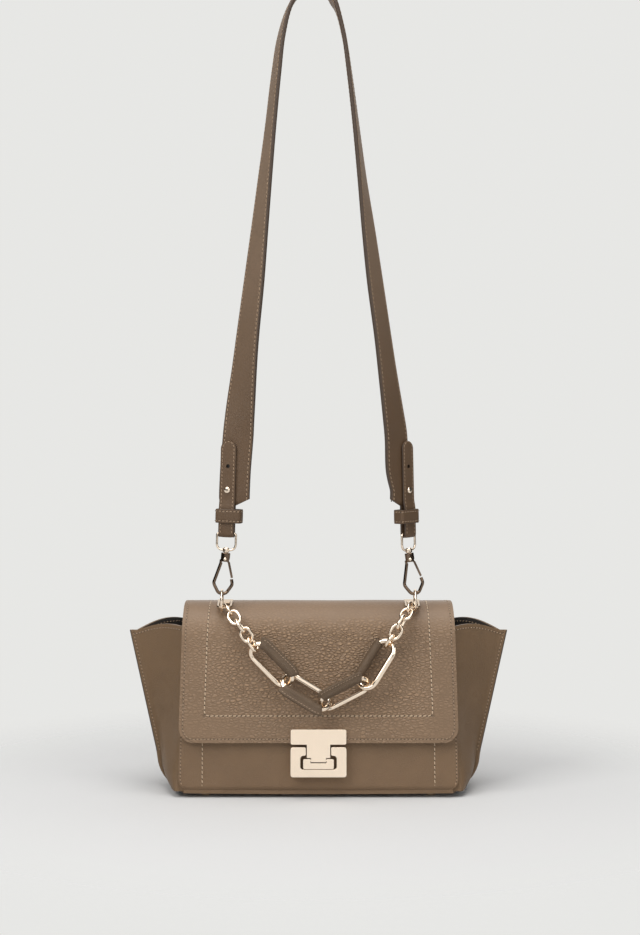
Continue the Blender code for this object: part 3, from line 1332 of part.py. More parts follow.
def smooth(points):
    """More points on a smooth curve through the given ones."""
    found = []
    count = len(points)
    for i in range(count - 1):
        p0, p1, p2, p3 = (points[min(max(k, 0), count - 1)] for k in (i - 1, i, i + 1, i + 2))
        for step in range(STATIONS_BETWEEN):
            t = step / STATIONS_BETWEEN
            bend = (p0 * 2 - p1 * 5 + p2 * 4 - p3) * t**2
            swing = (p1 * 3 - p0 - p2 * 3 + p3) * t**3
            found.append((p1 * 2 + (p2 - p0) * t + bend + swing) / 2)
    found.append(points[-1])
    return found


def strap_stations():
    left, right = wide_middles(LEFT), wide_middles(RIGHT)
    bar = hanger_frame(LEFT) @ Vector((0.0, SWIVEL_BAR_HEIGHT, 0.0))
    apex = Vector((STRAP_CENTRE, left[-1][0].y, bar.z + STRAP_RISE))
    middles = [m for m, _ in left] + [apex] + [m for m, _ in reversed(right)]
    normals = [n for _, n in left] + [UPWARD] + [n for _, n in reversed(right)]
    middles, normals = smooth(middles), smooth(normals)
    wide = []
    for i, (middle, normal) in enumerate(zip(middles, normals)):
        along = middles[min(i + 1, len(middles) - 1)] - middles[max(i - 1, 0)]
        along.normalize()
        front = (normal - along * normal.dot(along)).normalized()
        wide.append(Station(middle, along.cross(front), front, STRAP_WIDTH, STRAP_THICKNESS))
    start = end_stations(LEFT)[0]
    finish_end = end_stations(RIGHT)[0]
    return aligned(start + wide + finish_end[::-1])


def aligned(stations):
    """Keeps the width and front directions from flipping from one section to the next."""
    for i, station in enumerate(stations):
        along = stations[min(i + 1, len(stations) - 1)].middle - stations[max(i - 1, 0)].middle
        if i and station.across.dot(stations[i - 1].across) < 0.0:
            station.across = -station.across
        facing = along.cross(station.across)
        if facing.dot(station.front) < 0.0:
            station.front = -station.front
    return stations


def make_strap():
    stations = strap_stations()
    vertices = [corner for station in stations for corner in station.corners()]
    faces = []
    for r in range(len(stations) - 1):
        for c in range(4):
            following = (c + 1) % 4
            faces.append((r * 4 + c, r * 4 + following, (r + 1) * 4 + following, (r + 1) * 4 + c))
    last = (len(stations) - 1) * 4
    faces += [(3, 2, 1, 0), (last, last + 1, last + 2, last + 3)]
    strap = mesh_object("strap", vertices, faces, STRAP_FINISH)
    for side in (LEFT, RIGHT):
        make_end_fittings(side, strap)


def make_end_fittings(side, strap):
    """The stud with its hole, the spare hole and the keeper at one end of the strap."""
    name = SIDE_NAMES[side]
    place = hanger_frame(side)
    fold = SWIVEL_WIRE + GAP + TAB_THICKNESS / 2
    close = STRAP_THICKNESS / 2 + TAB_THICKNESS / 2 + 2 * GAP - fold
    front_face = close + TAB_THICKNESS / 2
    back_face = -fold - STRAP_THICKNESS / 2
    stud_place = place @ Matrix.Translation((0.0, SWIVEL_BAR_HEIGHT + STUD_HEIGHT, 0.0))
    profile = [
        (0.0, front_face + GAP + STUD_HEAD_HEIGHT),
        (STUD_HEAD * STUD_DOME_SHARE, front_face + GAP + STUD_HEAD_HEIGHT),
        (STUD_HEAD, front_face + GAP + STUD_HEAD_HEIGHT / 2),
        (STUD_HEAD, front_face + GAP),
        (STUD_SHANK, front_face + GAP),
        (STUD_SHANK, back_face - GAP),
        (STUD_HEAD, back_face - GAP),
        (STUD_HEAD, back_face - GAP - STUD_HEAD_HEIGHT / 2),
        (0.0, back_face - GAP - STUD_HEAD_HEIGHT / 2),
    ]
    lathe(name + "_stud", profile, stud_place, GOLD_FINISH)
    boolean(strap, cylinder(name + "_stud_hole", STUD_SHANK + GAP, STRAP_WIDTH / 2, stud_place), "DIFFERENCE")
    spare_low = close - TAB_THICKNESS / 2 - GAP
    spare_spot = (0.0, SWIVEL_BAR_HEIGHT + SPARE_HOLE_HEIGHT, spare_low + STUD_HEAD)
    spare_place = place @ Matrix.Translation(spare_spot)
    boolean(strap, cylinder(name + "_spare_hole", SPARE_HOLE, STUD_HEAD, spare_place), "DIFFERENCE")

    outer = rectangle(KEEPER_HALF_WIDTH, -KEEPER_HALF_DEPTH, KEEPER_HALF_DEPTH, KEEPER_CORNER)
    hole = rectangle(
        KEEPER_HALF_WIDTH - KEEPER_WALL,
        -KEEPER_HALF_DEPTH + KEEPER_WALL,
        KEEPER_HALF_DEPTH - KEEPER_WALL,
        KEEPER_CORNER / 2,
    )
    middle_height = SWIVEL_BAR_HEIGHT + KEEPER_BOTTOM + KEEPER_HEIGHT / 2
    middle = Vector((-side * KEEPER_ASIDE, middle_height, 0.0))
    keeper_place = collar_frame(place @ Matrix.Translation(middle))
    slab(name + "_keeper", [outer, hole], KEEPER_HEIGHT, keeper_place, STRAP_FINISH)


def seat_origins():
    """Sets the origins of what moves with the flap, the chain, the rings or the strap on its axis."""
    hinge = Vector((0.0, HINGE_DEPTH, HINGE_HEIGHT))
    found = {name: hinge for name in ("flap", "flap_lining", "clasp_plate", "clasp_back_plate")}
    found["strap"] = hook_frame(LEFT).translation
    for side, name in SIDE_NAMES.items():
        found[name + "_anchor"] = hinge
        found[name + "_ring"] = anchor_front(side)
        for i in range(SMALL_COUNT):
            found[f"{name}_link_{i + 1}"] = anchor_front(side)
    for name, spot in found.items():
        with_origin(bpy.data.objects[name], spot)


def main():
    make_panel("front_panel", -1, FRONT_PANEL_TOP)
    make_panel("back_panel", 1, BACK_PANEL_TOP)
    make_base_and_feet()
    make_lining()
    make_flap()
    make_clasp()
    make_catch()
    for side in (LEFT, RIGHT):
        make_gusset(side)
        make_anchor(side)
        make_ring(side)
        make_small_links(side)
        make_hook(side)
    make_large_links()
    make_strap()
    seat_origins()
    for made in PARTS.objects:
        made.location.y += BODY_SHIFT
    for helper in CUTTERS.objects:
        helper.location.y += BODY_SHIFT


main()
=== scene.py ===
"""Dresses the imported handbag: a soft stitched leather shell, a swag of sleeved links and a strap on snap hooks."""

import json
import math

import bmesh
import bpy
from mathutils import Matrix, Vector, noise

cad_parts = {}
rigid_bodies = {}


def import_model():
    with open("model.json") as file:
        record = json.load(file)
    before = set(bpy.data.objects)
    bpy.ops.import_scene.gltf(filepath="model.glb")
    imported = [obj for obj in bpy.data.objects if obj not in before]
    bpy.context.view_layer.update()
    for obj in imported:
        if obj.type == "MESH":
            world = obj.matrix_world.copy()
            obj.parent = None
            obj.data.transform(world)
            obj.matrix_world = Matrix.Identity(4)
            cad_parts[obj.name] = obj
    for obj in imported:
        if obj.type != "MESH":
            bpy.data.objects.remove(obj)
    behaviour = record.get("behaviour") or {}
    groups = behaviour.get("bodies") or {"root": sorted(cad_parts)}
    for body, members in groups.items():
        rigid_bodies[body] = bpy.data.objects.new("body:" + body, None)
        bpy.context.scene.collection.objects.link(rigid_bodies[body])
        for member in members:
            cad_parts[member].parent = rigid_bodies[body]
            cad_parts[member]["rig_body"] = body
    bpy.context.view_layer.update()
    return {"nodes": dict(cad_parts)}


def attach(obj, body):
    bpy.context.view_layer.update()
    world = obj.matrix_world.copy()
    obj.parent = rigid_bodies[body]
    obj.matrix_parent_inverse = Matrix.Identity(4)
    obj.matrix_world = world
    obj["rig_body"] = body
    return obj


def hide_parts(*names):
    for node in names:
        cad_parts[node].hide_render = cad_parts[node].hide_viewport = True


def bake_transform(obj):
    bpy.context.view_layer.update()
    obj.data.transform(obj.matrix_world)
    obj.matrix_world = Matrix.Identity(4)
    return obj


bl_info = {
    "name": "Flap handbag",
    "version": (1, 0, 0),
    "blender": (4, 5, 0),
    "location": "3D View > Sidebar > Handbag",
    "description": "Builds a stitched leather flap handbag round its packed frame",
    "category": "Add Mesh",
}

for old in list(bpy.data.objects):
    bpy.data.objects.remove(old, do_unlink=True)
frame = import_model()

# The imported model's own sizes, in metres
SHIFT = Vector((0.0, 0.0082, 0.0))
GAP = 0.0003
MERGE = 0.000002
ACROSS = Vector((1.0, 0.0, 0.0))
UPWARD = Vector((0.0, 0.0, 1.0))
LEFT, RIGHT = -1, 1
FRONT, BACK = -1, 1
SIDES = {LEFT: "left", RIGHT: "right"}

# Panels and base
LEATHER_THICKNESS = 0.0022
PANEL_FOOT = 0.0064
PANEL_TOP = 0.1400
BACK_TOP = 0.1498
PANEL_LOW_HALF = 0.1148
PANEL_HIGH_HALF = 0.1125
BODY_LOW_DEPTH = 0.0450
BODY_HIGH_DEPTH = 0.0310
PANEL_CORNER = 0.009
PANEL_SEAM = 0.0014
FRONT_SEAM = 0.0952
UNDER_CURVE = 0.0035
BASE_HALF = 0.1180
BASE_DEPTH = 0.0437
BASE_END_DEPTH = 0.0060
BASE_TAPER_START = 0.1110
BASE_TAPER = 0.0070
BASE_DROP = 0.0026
BASE_SAG = 0.0013
BASE_LEATHER = 0.0034

# Gussets and lining
WING_BOTTOM = 0.0052
WING_TOP_AT_PANEL = 0.1380
WING_TOP_AT_TIP = 0.1321
WING_HEIGHTS = (0.0052, 0.0084, 0.0110, 0.0146, 0.0200, 0.0305, 0.1321)
WING_REACHES = (0.1260, 0.1291, 0.1308, 0.1328, 0.1347, 0.1362, 0.1587)
WING_NOTCH = 0.0300
WING_FRONT_ARCH = 0.0034
WING_BACK_ARCH = 0.0052
WING_PINCH = 0.0060
WING_PINCH_HALF = 0.0021
WING_LEATHER = 0.0019
WING_SEAM = 0.0031
LINING_FLOOR = 0.0113
LINING_TOP = 0.1345
LINING_CLEARANCE = 0.0020
LINING_FALL = 0.0090

# Flap
FLAP_THICKNESS = 0.0023
FLAP_LOW_HALF = 0.1147
FLAP_HIGH_HALF = 0.1099
FLAP_LOW_DEPTH = 0.04648
FLAP_LOW_HEIGHT = 0.0467
FLAP_HANG = 0.0014
SHOULDER_DEPTH = 0.0365
CROWN_HEIGHT = 0.1570
SHOULDER_BEND = 0.0300
HINGE_DEPTH = 0.0334
HINGE_HEIGHT = 0.1502
FLAP_LEAN = math.atan2(FLAP_LOW_DEPTH - SHOULDER_DEPTH, CROWN_HEIGHT - FLAP_LOW_HEIGHT)
FLAP_UP = Vector((0.0, math.sin(FLAP_LEAN), math.cos(FLAP_LEAN)))
FLAP_OUT = Vector((0.0, -math.cos(FLAP_LEAN), math.sin(FLAP_LEAN)))
FLAP_CORNER = 0.0125
EDGE_SEAM = 0.0031
BAND_SEAM = 0.0204
BAND_LOW = 0.0219
BAND_LEAN = 0.0014
STRIP_FOOT = 0.1255
CROWN_FALL = 0.0036
EDGE_DIP = 0.00028
BAND_DIP = 0.00024

# Chain
LARGE_WIRE = 0.0020
LARGE_WIDTH = 0.0200
LARGE_FULLER = 0.0001
BARE_FULLERS = (0.0004, 0.0004, 0.0001, 0.0004)
LARGE_PITCH = 0.0360
LARGE_LENGTH = LARGE_PITCH + 4 * LARGE_WIRE + 0.0022
LARGE_HEADINGS = (-45.0, -31.0, 27.0, 58.0)
LARGE_ROLLS = (26.0, -39.0, 42.0, -26.0)
SLEEVE_SIDES = (1, -1, 1, 1)
LARGE_START = (-0.05103, 0.12158)
SMALL_COUNT = 5
SMALL_FULLER = 0.0004
FIRST_SMALL_FULLER = 0.00003
SLEEVE_RADIUS = 0.0038
SLEEVE_TURNS = (36.0, 31.0, 29.0, 29.0)
SLEEVE_FINS = (0.0028, 0.0028, 0.0028, 0.0010)
SLEEVE_BORE = 0.00235
SLEEVE_FIN_HALF = 0.00105

# Hooks and rings
GATE_REACH = 0.0008
RIVET_RADIUS = 0.0013
RING_ANGLE = 41.0
ANCHOR_SPREAD = 0.07765
ANCHOR_STAND_OFF = 0.0066
RING_ASIDE = 0.0019
RING_RADIUS = 0.0084
RING_WIRE = 0.0011
RING_FULLER = 0.0001
HOOK_WIRE = 0.0014
BOSS_MIDDLE = 0.0361
HOOK_LEANS = {LEFT: 5.5, RIGHT: 8.5}
END_LEANS = {LEFT: 1.6, RIGHT: 1.2}
END_TURNS = {LEFT: 12.0, RIGHT: 46.0}
SWIVEL_WIRE = 0.0010
BAR_HEIGHT = 0.0496

# Strap, with heights above the swivel's bar
STRAP_WIDTH = 0.0260
STRAP_THICKNESS = 0.0034
TAB_WIDTH = 0.0132
TAB_THICKNESS = 0.0018
TAB_ASIDE = 0.0052
KEEPER_ASIDE = 0.0018
TAB_LENGTH = 0.0765
TAB_STRAIGHT = 0.0699
TAB_LEAVES = 0.0290
TAB_MEETS = 0.0205
CHAMFER_START = 0.0230
STUD_HEIGHT = 0.0360
STUD_HEAD = 0.0026
STUD_HOLE = 0.0014
SPARE_HEIGHT = 0.0555
SPARE_HOLE = 0.0016
SPARE_SHADE = 0.0017
STRAP_SEAM = 0.0022
TAB_SEAM = 0.0018
BAND_CROWN = 0.06
KEEPER_HALF_WIDTH = 0.0108
KEEPER_HALF_DEPTH = 0.0053
KEEPER_WALL = 0.0016
KEEPER_HEIGHT = 0.0115
KEEPER_BOTTOM = 0.0088
RISE = 0.4570
SPREAD = 0.0740
CENTRE = -0.0040
RISE_SHARES = (0.12, 0.172, 0.215, 0.29, 0.36, 0.454, 0.547, 0.641, 0.734, 0.828, 0.90, 0.958)
SPREAD_SHARES = {
    LEFT: (0.868, 0.842, 0.821, 0.776, 0.732, 0.664, 0.603, 0.542, 0.480, 0.418, 0.356, 0.24),
    RIGHT: (0.925, 0.915, 0.883, 0.820, 0.763, 0.681, 0.608, 0.536, 0.470, 0.398, 0.330, 0.22),
}
TURNS = {
    LEFT: (12.0, 12.0, 22.0, 38.0, 46.0, 52.0, 60.0, 67.0, 73.0, 76.0, 80.0, 85.0),
    RIGHT: (46.0, 46.0, 50.0, 57.0, 61.0, 63.0, 69.0, 78.0, 83.0, 86.0, 88.0, 89.0),
}
FOLD = SWIVEL_WIRE + GAP + TAB_THICKNESS / 2
CLOSE = STRAP_THICKNESS / 2 + TAB_THICKNESS / 2 + 2 * GAP - FOLD

# Each kind of seam: its thread, its pitch, and one stitch's length and thickness
SEAMS = {
    "body": ("thread", 0.0030, 0.0018, 0.0009),
    "front": ("contrast", 0.0037, 0.0029, 0.0009),
    "flap": ("thread", 0.0030, 0.0022, 0.00075),
    "band": ("contrast", 0.0037, 0.0029, 0.00095),
    "sleeve": ("thread", 0.0026, 0.0019, 0.0007),
    "strap": ("thread", 0.0036, 0.0026, 0.0008),
    "tab": ("thread", 0.0031, 0.0022, 0.0007),
}
STITCH_TILT = 9.0
STITCH_SINK = 0.00004
HOLE_SINK = 0.00035

# Each light: its name, place, size, power and whether metal mirrors it
LIGHTS = (
    ("key_light", (-1.30, -1.35, 1.55), 1.2, 26.0, True),
    ("top_light", (0.1, -0.35, 1.9), 1.3, 25.0, True),
    ("fill_light", (1.5, -1.5, 0.9), 1.3, 9.0, True),
    ("low_light", (0.0, -1.9, 0.12), 0.9, 7.0, False),
)

STITCH = {}
FINISHES = {}


def deselect():
    if bpy.context.mode != "OBJECT":
        bpy.ops.object.mode_set(mode="OBJECT")
    bpy.ops.object.select_all(action="DESELECT")


def activate(piece):
    deselect()
    bpy.context.view_layer.objects.active = piece
    piece.select_set(True)


def apply_modifier(piece, kind, **settings):
    activate(piece)
    made = piece.modifiers.new("shaping", kind)
    for key, value in settings.items():
        setattr(made, key, value)
    bpy.ops.object.modifier_apply(modifier=made.name)


def round_edges(piece, width, segments, degrees):
    """Bevels the edges that are sharper than an angle."""
    limit = math.radians(degrees)
    apply_modifier(piece, "BEVEL", width=width, segments=segments, limit_method="ANGLE", angle_limit=limit)


def smooth_by_angle(piece, degrees=35.0):
    activate(piece)
    bpy.ops.object.shade_smooth_by_angle(angle=math.radians(degrees))


def settle(piece, body, slot, *nodes):
    """Applies the piece's place to its mesh and hands it to its body."""
    activate(piece)
    bpy.ops.object.transform_apply(location=True, rotation=True, scale=True)
    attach(piece, body)
    if nodes:
        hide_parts(*nodes)
    deselect()
    return piece


def loft(name, rows, closed=False, marks=None):
    """A sheet through rows of points, from a plain grid; a closed one is joined along its two long edges."""
    deselect()
    across, along = len(rows[0]), len(rows)
    if closed:
        rows = [row + [row[0]] for row in rows]
        across += 1
    bpy.ops.mesh.primitive_grid_add(x_subdivisions=across - 1, y_subdivisions=along - 1, size=1.0)
    piece = bpy.context.object
    piece.name = piece.data.name = name
    for vertex, point in zip(piece.data.vertices, [p for row in rows for p in row]):
        vertex.co = point
    # The seam marks become a point attribute that the leather reads as painted shade along the stitch grooves.
    if marks:
        seam = piece.data.attributes.new("seam", "FLOAT", "POINT")
        seam.data.foreach_set("value", [value for row in marks for value in row])
    if closed:
        edit(piece, merge)
    return piece


def face_outwards(piece, middle):
    """Turns a sheet so that it looks away from a point."""
    facing = sum(f.area * f.normal.dot(f.center - middle) for f in piece.data.polygons)
    if facing < 0.0:
        piece.data.flip_normals()


def edit(piece, *steps):
    """Edit-mode operators on the whole mesh."""
    activate(piece)
    bpy.ops.object.mode_set(mode="EDIT")
    bpy.ops.mesh.select_all(action="SELECT")
    for step in steps:
        step()
    bpy.ops.object.mode_set(mode="OBJECT")


def merge():
    bpy.ops.mesh.remove_doubles(threshold=MERGE)


def face_out():
    bpy.ops.mesh.normals_make_consistent(inside=False)


def close_ends(piece):
    edit(
        piece,
        lambda: bpy.ops.mesh.select_all(action="DESELECT"),
        bpy.ops.mesh.select_non_manifold,
        bpy.ops.mesh.edge_face_add,
        lambda: bpy.ops.mesh.select_all(action="SELECT"),
        face_out,
    )


def paint(piece, material, edge=None, is_edge=None):
    piece.data.materials.clear()
    piece.data.materials.append(material)
    if edge:
        piece.data.materials.append(edge)
        for face in piece.data.polygons:
            if is_edge(face):
                face.material_index = 1


def lerp(a, b, share):
    return a + (b - a) * share


def table(places, values, at):
    for i in range(len(places) - 1):
        if at <= places[i + 1]:
            return lerp(values[i], values[i + 1], (at - places[i]) / (places[i + 1] - places[i]))
    return values[-1]


def spread(stops, fine, half):
    """Places from -half to half, closer together near each stop."""
    found = {-half, half}
    steps = int(2 * half / fine)
    for i in range(steps + 1):
        found.add(-half + 2 * half * i / steps)
    for stop in stops:
        for nudge in (-0.0012, -0.0006, 0.0, 0.0006, 0.0012):
            if abs(stop + nudge) < half:
                found.add(stop + nudge)
    ordered = sorted(found)
    kept = [ordered[0]]
    for place in ordered[1:]:
        if place - kept[-1] > 0.0003:
            kept.append(place)
    return kept


def groove(distance, depth=0.00022, half=0.0007):
    """How far a stitch line draws the leather in at a distance from it."""
    return depth * math.exp(-((distance / half) ** 2))


def rounded_path(corners, bends, steps=8, closed=False):
    count = len(corners)
    points = []
    for i, corner in enumerate(corners):
        if not closed and i in (0, count - 1):
            points.append(corner.copy())
            continue
        before = (corners[i - 1] - corner).normalized()
        after = (corners[(i + 1) % count] - corner).normalized()
        half = before.angle(after) / 2
        reach = bends[i] / math.tan(half)
        middle = corner + (before + after).normalized() * (bends[i] / math.sin(half))
        first = corner + before * reach - middle
        last = corner + after * reach - middle
        sweep = first.angle(last)
        for step in range(steps + 1):
            share = step / steps
            points.append(
                middle + (first * math.sin((1 - share) * sweep) + last * math.sin(share * sweep)) / math.sin(sweep)
            )
    return points


def filled(line, pitch):
    """A closed line with points added where they stand further apart than a pitch."""
    full = []
    for i, point in enumerate(line):
        following = line[(i + 1) % len(line)]
        pieces = max(int((following - point).length / pitch), 1)
        full += [point.lerp(following, k / pieces) for k in range(pieces)]
    return full


def lengths_along(points):
    run = [0.0]
    for a, b in zip(points, points[1:]):
        run.append(run[-1] + (b - a).length)
    return run


def walk(points, pitch, start=0.0, end=0.0):
    """Evenly spaced places along a line: each a point and its direction."""
    run = lengths_along(points)
    total = run[-1] - start - end
    count = max(int(round(total / pitch)), 1)
    found = []
    i = 0
    for k in range(count):
        at = start + total * (k + 0.5) / count
        while i < len(points) - 2 and run[i + 1] < at:
            i += 1
        share = (at - run[i]) / max(run[i + 1] - run[i], 1e-9)
        found.append((points[i].lerp(points[i + 1], share), (points[i + 1] - points[i]).normalized(), i, share))
    return found


def frame_of(origin, along, out):
    """A matrix whose X runs along and whose Z points out."""
    z = (out - along * out.dot(along)).normalized()
    y = z.cross(along)
    return Matrix.Translation(origin) @ Matrix((along, y, z)).transposed().to_4x4()


def stitch_shape(length, thick):
    """One stitch: a small capsule along X, flattened where it lies on the leather."""
    key = (round(length, 6), round(thick, 6))
    if key not in STITCH:
        deselect()
        bpy.ops.mesh.primitive_uv_sphere_add(segments=6, ring_count=5, radius=0.5)
        made = bpy.context.object
        made.rotation_euler = (0.0, math.pi / 2, 0.0)
        bpy.ops.object.transform_apply(location=True, rotation=True, scale=True)
        points = []
        for vertex in made.data.vertices:
            x, y, z = vertex.co
            lengthwise = math.copysign(abs(2 * x) ** 0.72, x) * length / 2
            points.append(Vector((lengthwise, y * thick, z * thick)))
        faces = [tuple(f.vertices) for f in made.data.polygons]
        bpy.data.objects.remove(made, do_unlink=True)
        STITCH[key] = (points, faces)
    return STITCH[key]


def sew(name, runs, kind, body, slot):
    """Stitches along runs of (points, outward directions), with a dark capsule sunk between each two: painted shade
    standing in for the needle holes.
    """
    finish, pitch, length, thick = SEAMS[kind]
    stitch = (stitch_shape(length, thick), STITCH_TILT, STITCH_SINK, 0.0)
    hole = (stitch_shape(thick * 1.5, thick * 1.25), 0.0, HOLE_SINK, 0.5)
    vertices, faces, counts = [], [], []
    for (shape, shape_faces), turn, depth, offset in (stitch, hole):
        for points, outs in runs:
            for spot, along, i, share in walk(points, pitch):
                out = outs[i].lerp(outs[min(i + 1, len(outs) - 1)], share).normalized()
                spot = spot + along * (pitch * offset) - out * depth
                place = frame_of(spot, along, out) @ Matrix.Rotation(math.radians(turn), 4, "Z")
                start = len(vertices)
                vertices += [place @ p for p in shape]
                faces += [tuple(start + k for k in face) for face in shape_faces]
        counts.append(len(faces))
    data = bpy.data.meshes.new(name)
    data.from_pydata([tuple(v) for v in vertices], [], faces)
    piece = bpy.data.objects.new(name, data)
    bpy.context.scene.collection.objects.link(piece)
    data.shade_smooth()
    paint(piece, FINISHES[finish], FINISHES["hole"], lambda face: face.index >= counts[0])
    return settle(piece, body, slot)


def polished(node, material, bevel=0.0, level=0, remesh=0.0, fuller=0.0):
    """A copy of a packed metal piece with merged faces, soft edges and an even polish."""
    source = frame["nodes"][node]
    body = source["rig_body"]
    activate(source)
    bpy.ops.object.duplicate()
    piece = bpy.context.object
    for key in list(piece.keys()):
        del piece[key]
    piece.parent = None
    piece.name = piece.data.name = node + "_polished"
    edit(piece, merge, bpy.ops.mesh.tris_convert_to_quads)
    if bevel:
        edit(piece, lambda: bpy.ops.mesh.dissolve_limited(angle_limit=math.radians(2.0)))
    if remesh:
        apply_modifier(piece, "REMESH", mode="VOXEL", voxel_size=remesh, use_smooth_shade=True)
        apply_modifier(piece, "SMOOTH", factor=0.5, iterations=3)
    if bevel:
        piece.data.shade_smooth()
        round_edges(piece, bevel, 3, 28.0)
        apply_modifier(piece, "WEIGHTED_NORMAL", mode="FACE_AREA", weight=100)
    if level:
        apply_modifier(piece, "SUBSURF", levels=level, render_levels=level)
        piece.data.shade_smooth()
        if fuller:
            apply_modifier(piece, "DISPLACE", strength=fuller, mid_level=0.0)
    elif remesh:
        piece.data.shade_smooth()
    elif not bevel:
        smooth_by_angle(piece, 32.0)
    paint(piece, material)
    return settle(piece, body, "pale_gold", node)


class Nodes:
    """A short hand for wiring one material or world."""

    def __init__(self, owner):
        self.owner = owner
        owner.use_nodes = True
        self.tree = owner.node_tree
        self.shader = self.tree.nodes.get("Principled BSDF")

    def add(self, kind, **settings):
        made = self.tree.nodes.new(kind)
        for key, value in settings.items():
            setattr(made, key, value)
        return made

    def link(self, source, target):
        self.tree.links.new(source, target)

    def feed(self, value, target):
        """Links a socket or sets a plain value."""
        if hasattr(value, "node"):
            self.link(value, target)
        else:
            target.default_value = value

    def math(self, operation, a, b=None):
        made = self.add("ShaderNodeMath", operation=operation)
        self.feed(a, made.inputs[0])
        if b is not None:
            self.feed(b, made.inputs[1])
        return made.outputs[0]

    def ramp(self, value, low, high, to_low=0.0, to_high=1.0, kind="SMOOTHSTEP"):
        made = self.add("ShaderNodeMapRange", interpolation_type=kind)
        self.link(value, made.inputs["Value"])
        for name, limit in zip(("From Min", "From Max", "To Min", "To Max"), (low, high, to_low, to_high)):
            made.inputs[name].default_value = limit
        return made.outputs["Result"]

    def mix(self, factor, a, b):
        made = self.add("ShaderNodeMix", data_type="RGBA")
        self.link(factor, made.inputs["Factor"])
        for slot, value in ((6, a), (7, b)):
            if hasattr(value, "node"):
                self.link(value, made.inputs[slot])
            else:
                made.inputs[slot].default_value = (*value, 1.0)
        return made.outputs[2]

    def blend(self, factor, a, b):
        """Mixes two shaders."""
        made = self.add("ShaderNodeMixShader")
        for slot, source in enumerate((factor, a, b)):
            self.link(source, made.inputs[slot])
        return made.outputs[0]

    def background(self, colour, strength):
        made = self.add("ShaderNodeBackground")
        made.inputs["Color"].default_value = (*colour, 1.0)
        self.feed(strength, made.inputs["Strength"])
        return made.outputs[0]

    def place(self, scale=(1.0, 1.0, 1.0), warp=0.0, warp_scale=300.0):
        spot = self.add("ShaderNodeTexCoord").outputs["Object"]
        mapping = self.add("ShaderNodeMapping")
        mapping.inputs["Scale"].default_value = scale
        self.link(spot, mapping.inputs["Vector"])
        result = mapping.outputs["Vector"]
        if warp:
            wobble = self.noise(spot, warp_scale, 2.0, colour=True)
            centred = self.add("ShaderNodeVectorMath", operation="SUBTRACT")
            self.link(wobble, centred.inputs[0])
            centred.inputs[1].default_value = (0.5, 0.5, 0.5)
            sized = self.add("ShaderNodeVectorMath", operation="SCALE")
            self.link(centred.outputs[0], sized.inputs[0])
            sized.inputs["Scale"].default_value = warp
            moved = self.add("ShaderNodeVectorMath", operation="ADD")
            self.link(result, moved.inputs[0])
            self.link(sized.outputs[0], moved.inputs[1])
            result = moved.outputs[0]
        return result

    def noise(self, spot, scale, detail=3.0, roughness=0.55, colour=False):
        made = self.add("ShaderNodeTexNoise")
        made.inputs["Scale"].default_value = scale
        made.inputs["Detail"].default_value = detail
        made.inputs["Roughness"].default_value = roughness
        self.link(spot, made.inputs["Vector"])
        return made.outputs["Color" if colour else "Fac"]

    def bump(self, height, distance):
        made = self.add("ShaderNodeBump")
        made.inputs["Distance"].default_value = distance
        self.link(height, made.inputs["Height"])
        self.link(made.outputs["Normal"], self.shader.inputs["Normal"])


def surface(name):
    return Nodes(bpy.data.materials.new(name))


def dimmed(colour, share):
    return tuple(c * share for c in colour)


def leather(name, colour, pebble, depth, contrast, low_colour=None, focused=False, crown_highlight=0.0):
    """Grained leather: rounded pebbles parted by creases, pores, drawn-in seams and soft changes of colour; its
    colour also carries painted shade in the creases and along the seam grooves, and a painted highlight on the
    pebbles' crowns.
    """
    n = surface(name)
    plain = n.place()
    parts = n.add("ShaderNodeSeparateXYZ")
    n.link(plain, parts.inputs[0])
    stretched = n.place((1.0 / pebble, 1.0 / pebble, 1.7 / pebble), warp=0.5, warp_scale=0.5 / pebble)
    cells = n.add("ShaderNodeTexVoronoi", feature="DISTANCE_TO_EDGE")
    cells.inputs["Scale"].default_value = 1.0
    cells.inputs["Randomness"].default_value = 0.9
    n.link(stretched, cells.inputs["Vector"])
    dome = n.ramp(cells.outputs["Distance"], 0.0, 0.34)
    pores = n.noise(plain, 4.0 / pebble, 3.0, 0.6)
    broad = n.noise(plain, 22.0, 2.0, 0.5)
    patches = n.noise(plain, 0.16 / pebble, 2.0, 0.5)
    firm = n.ramp(patches, 0.30, 0.60, 0.5, 1.0)
    if focused:
        aside = n.math("ABSOLUTE", parts.outputs["X"])
        firm = n.math("MULTIPLY", firm, n.ramp(aside, 0.055, 0.108, 1.0, 0.35))
        firm = n.math("MULTIPLY", firm, n.ramp(parts.outputs["Z"], 0.132, 0.150, 1.0, 0.12))
        firm = n.math("MULTIPLY", firm, n.ramp(parts.outputs["Z"], 0.050, 0.085, 0.45, 1.0))
    grain = n.math("MULTIPLY", dome, firm)
    height = n.math("ADD", grain, n.math("MULTIPLY", pores, 0.10))
    # Painted shade and highlight: creases are darkened by contrast and, where lit is negative, the pebbles' crowns
    # are lightened, both scaled by the grain's firmness.
    crease_shade_and_crown_highlight = n.math("MULTIPLY", n.ramp(dome, 0.0, 0.7, contrast, crown_highlight), firm)
    shade = n.math("SUBTRACT", n.ramp(broad, 0.32, 0.68, 0.96, 1.03), crease_shade_and_crown_highlight)
    # Painted shade: the leather is darkened along the drawn-in stitch grooves.
    seam = n.add("ShaderNodeAttribute", attribute_name="seam")
    drawn = n.ramp(seam.outputs["Fac"], 0.1, 1.0, 1.0, 0.72)
    tone = n.add("ShaderNodeVectorMath", operation="SCALE")
    tone.inputs[0].default_value = colour
    if low_colour:
        n.link(n.mix(n.ramp(parts.outputs["Z"], 0.26, 0.52), low_colour, colour), tone.inputs[0])
    n.link(n.math("MULTIPLY", shade, drawn), tone.inputs["Scale"])
    n.link(tone.outputs[0], n.shader.inputs["Base Color"])
    gloss = n.ramp(pores, 0.3, 0.7, 0.42, 0.52)
    n.link(gloss, n.shader.inputs["Roughness"])
    n.shader.inputs["Specular IOR Level"].default_value = 0.33
    n.bump(height, depth)
    return n.owner


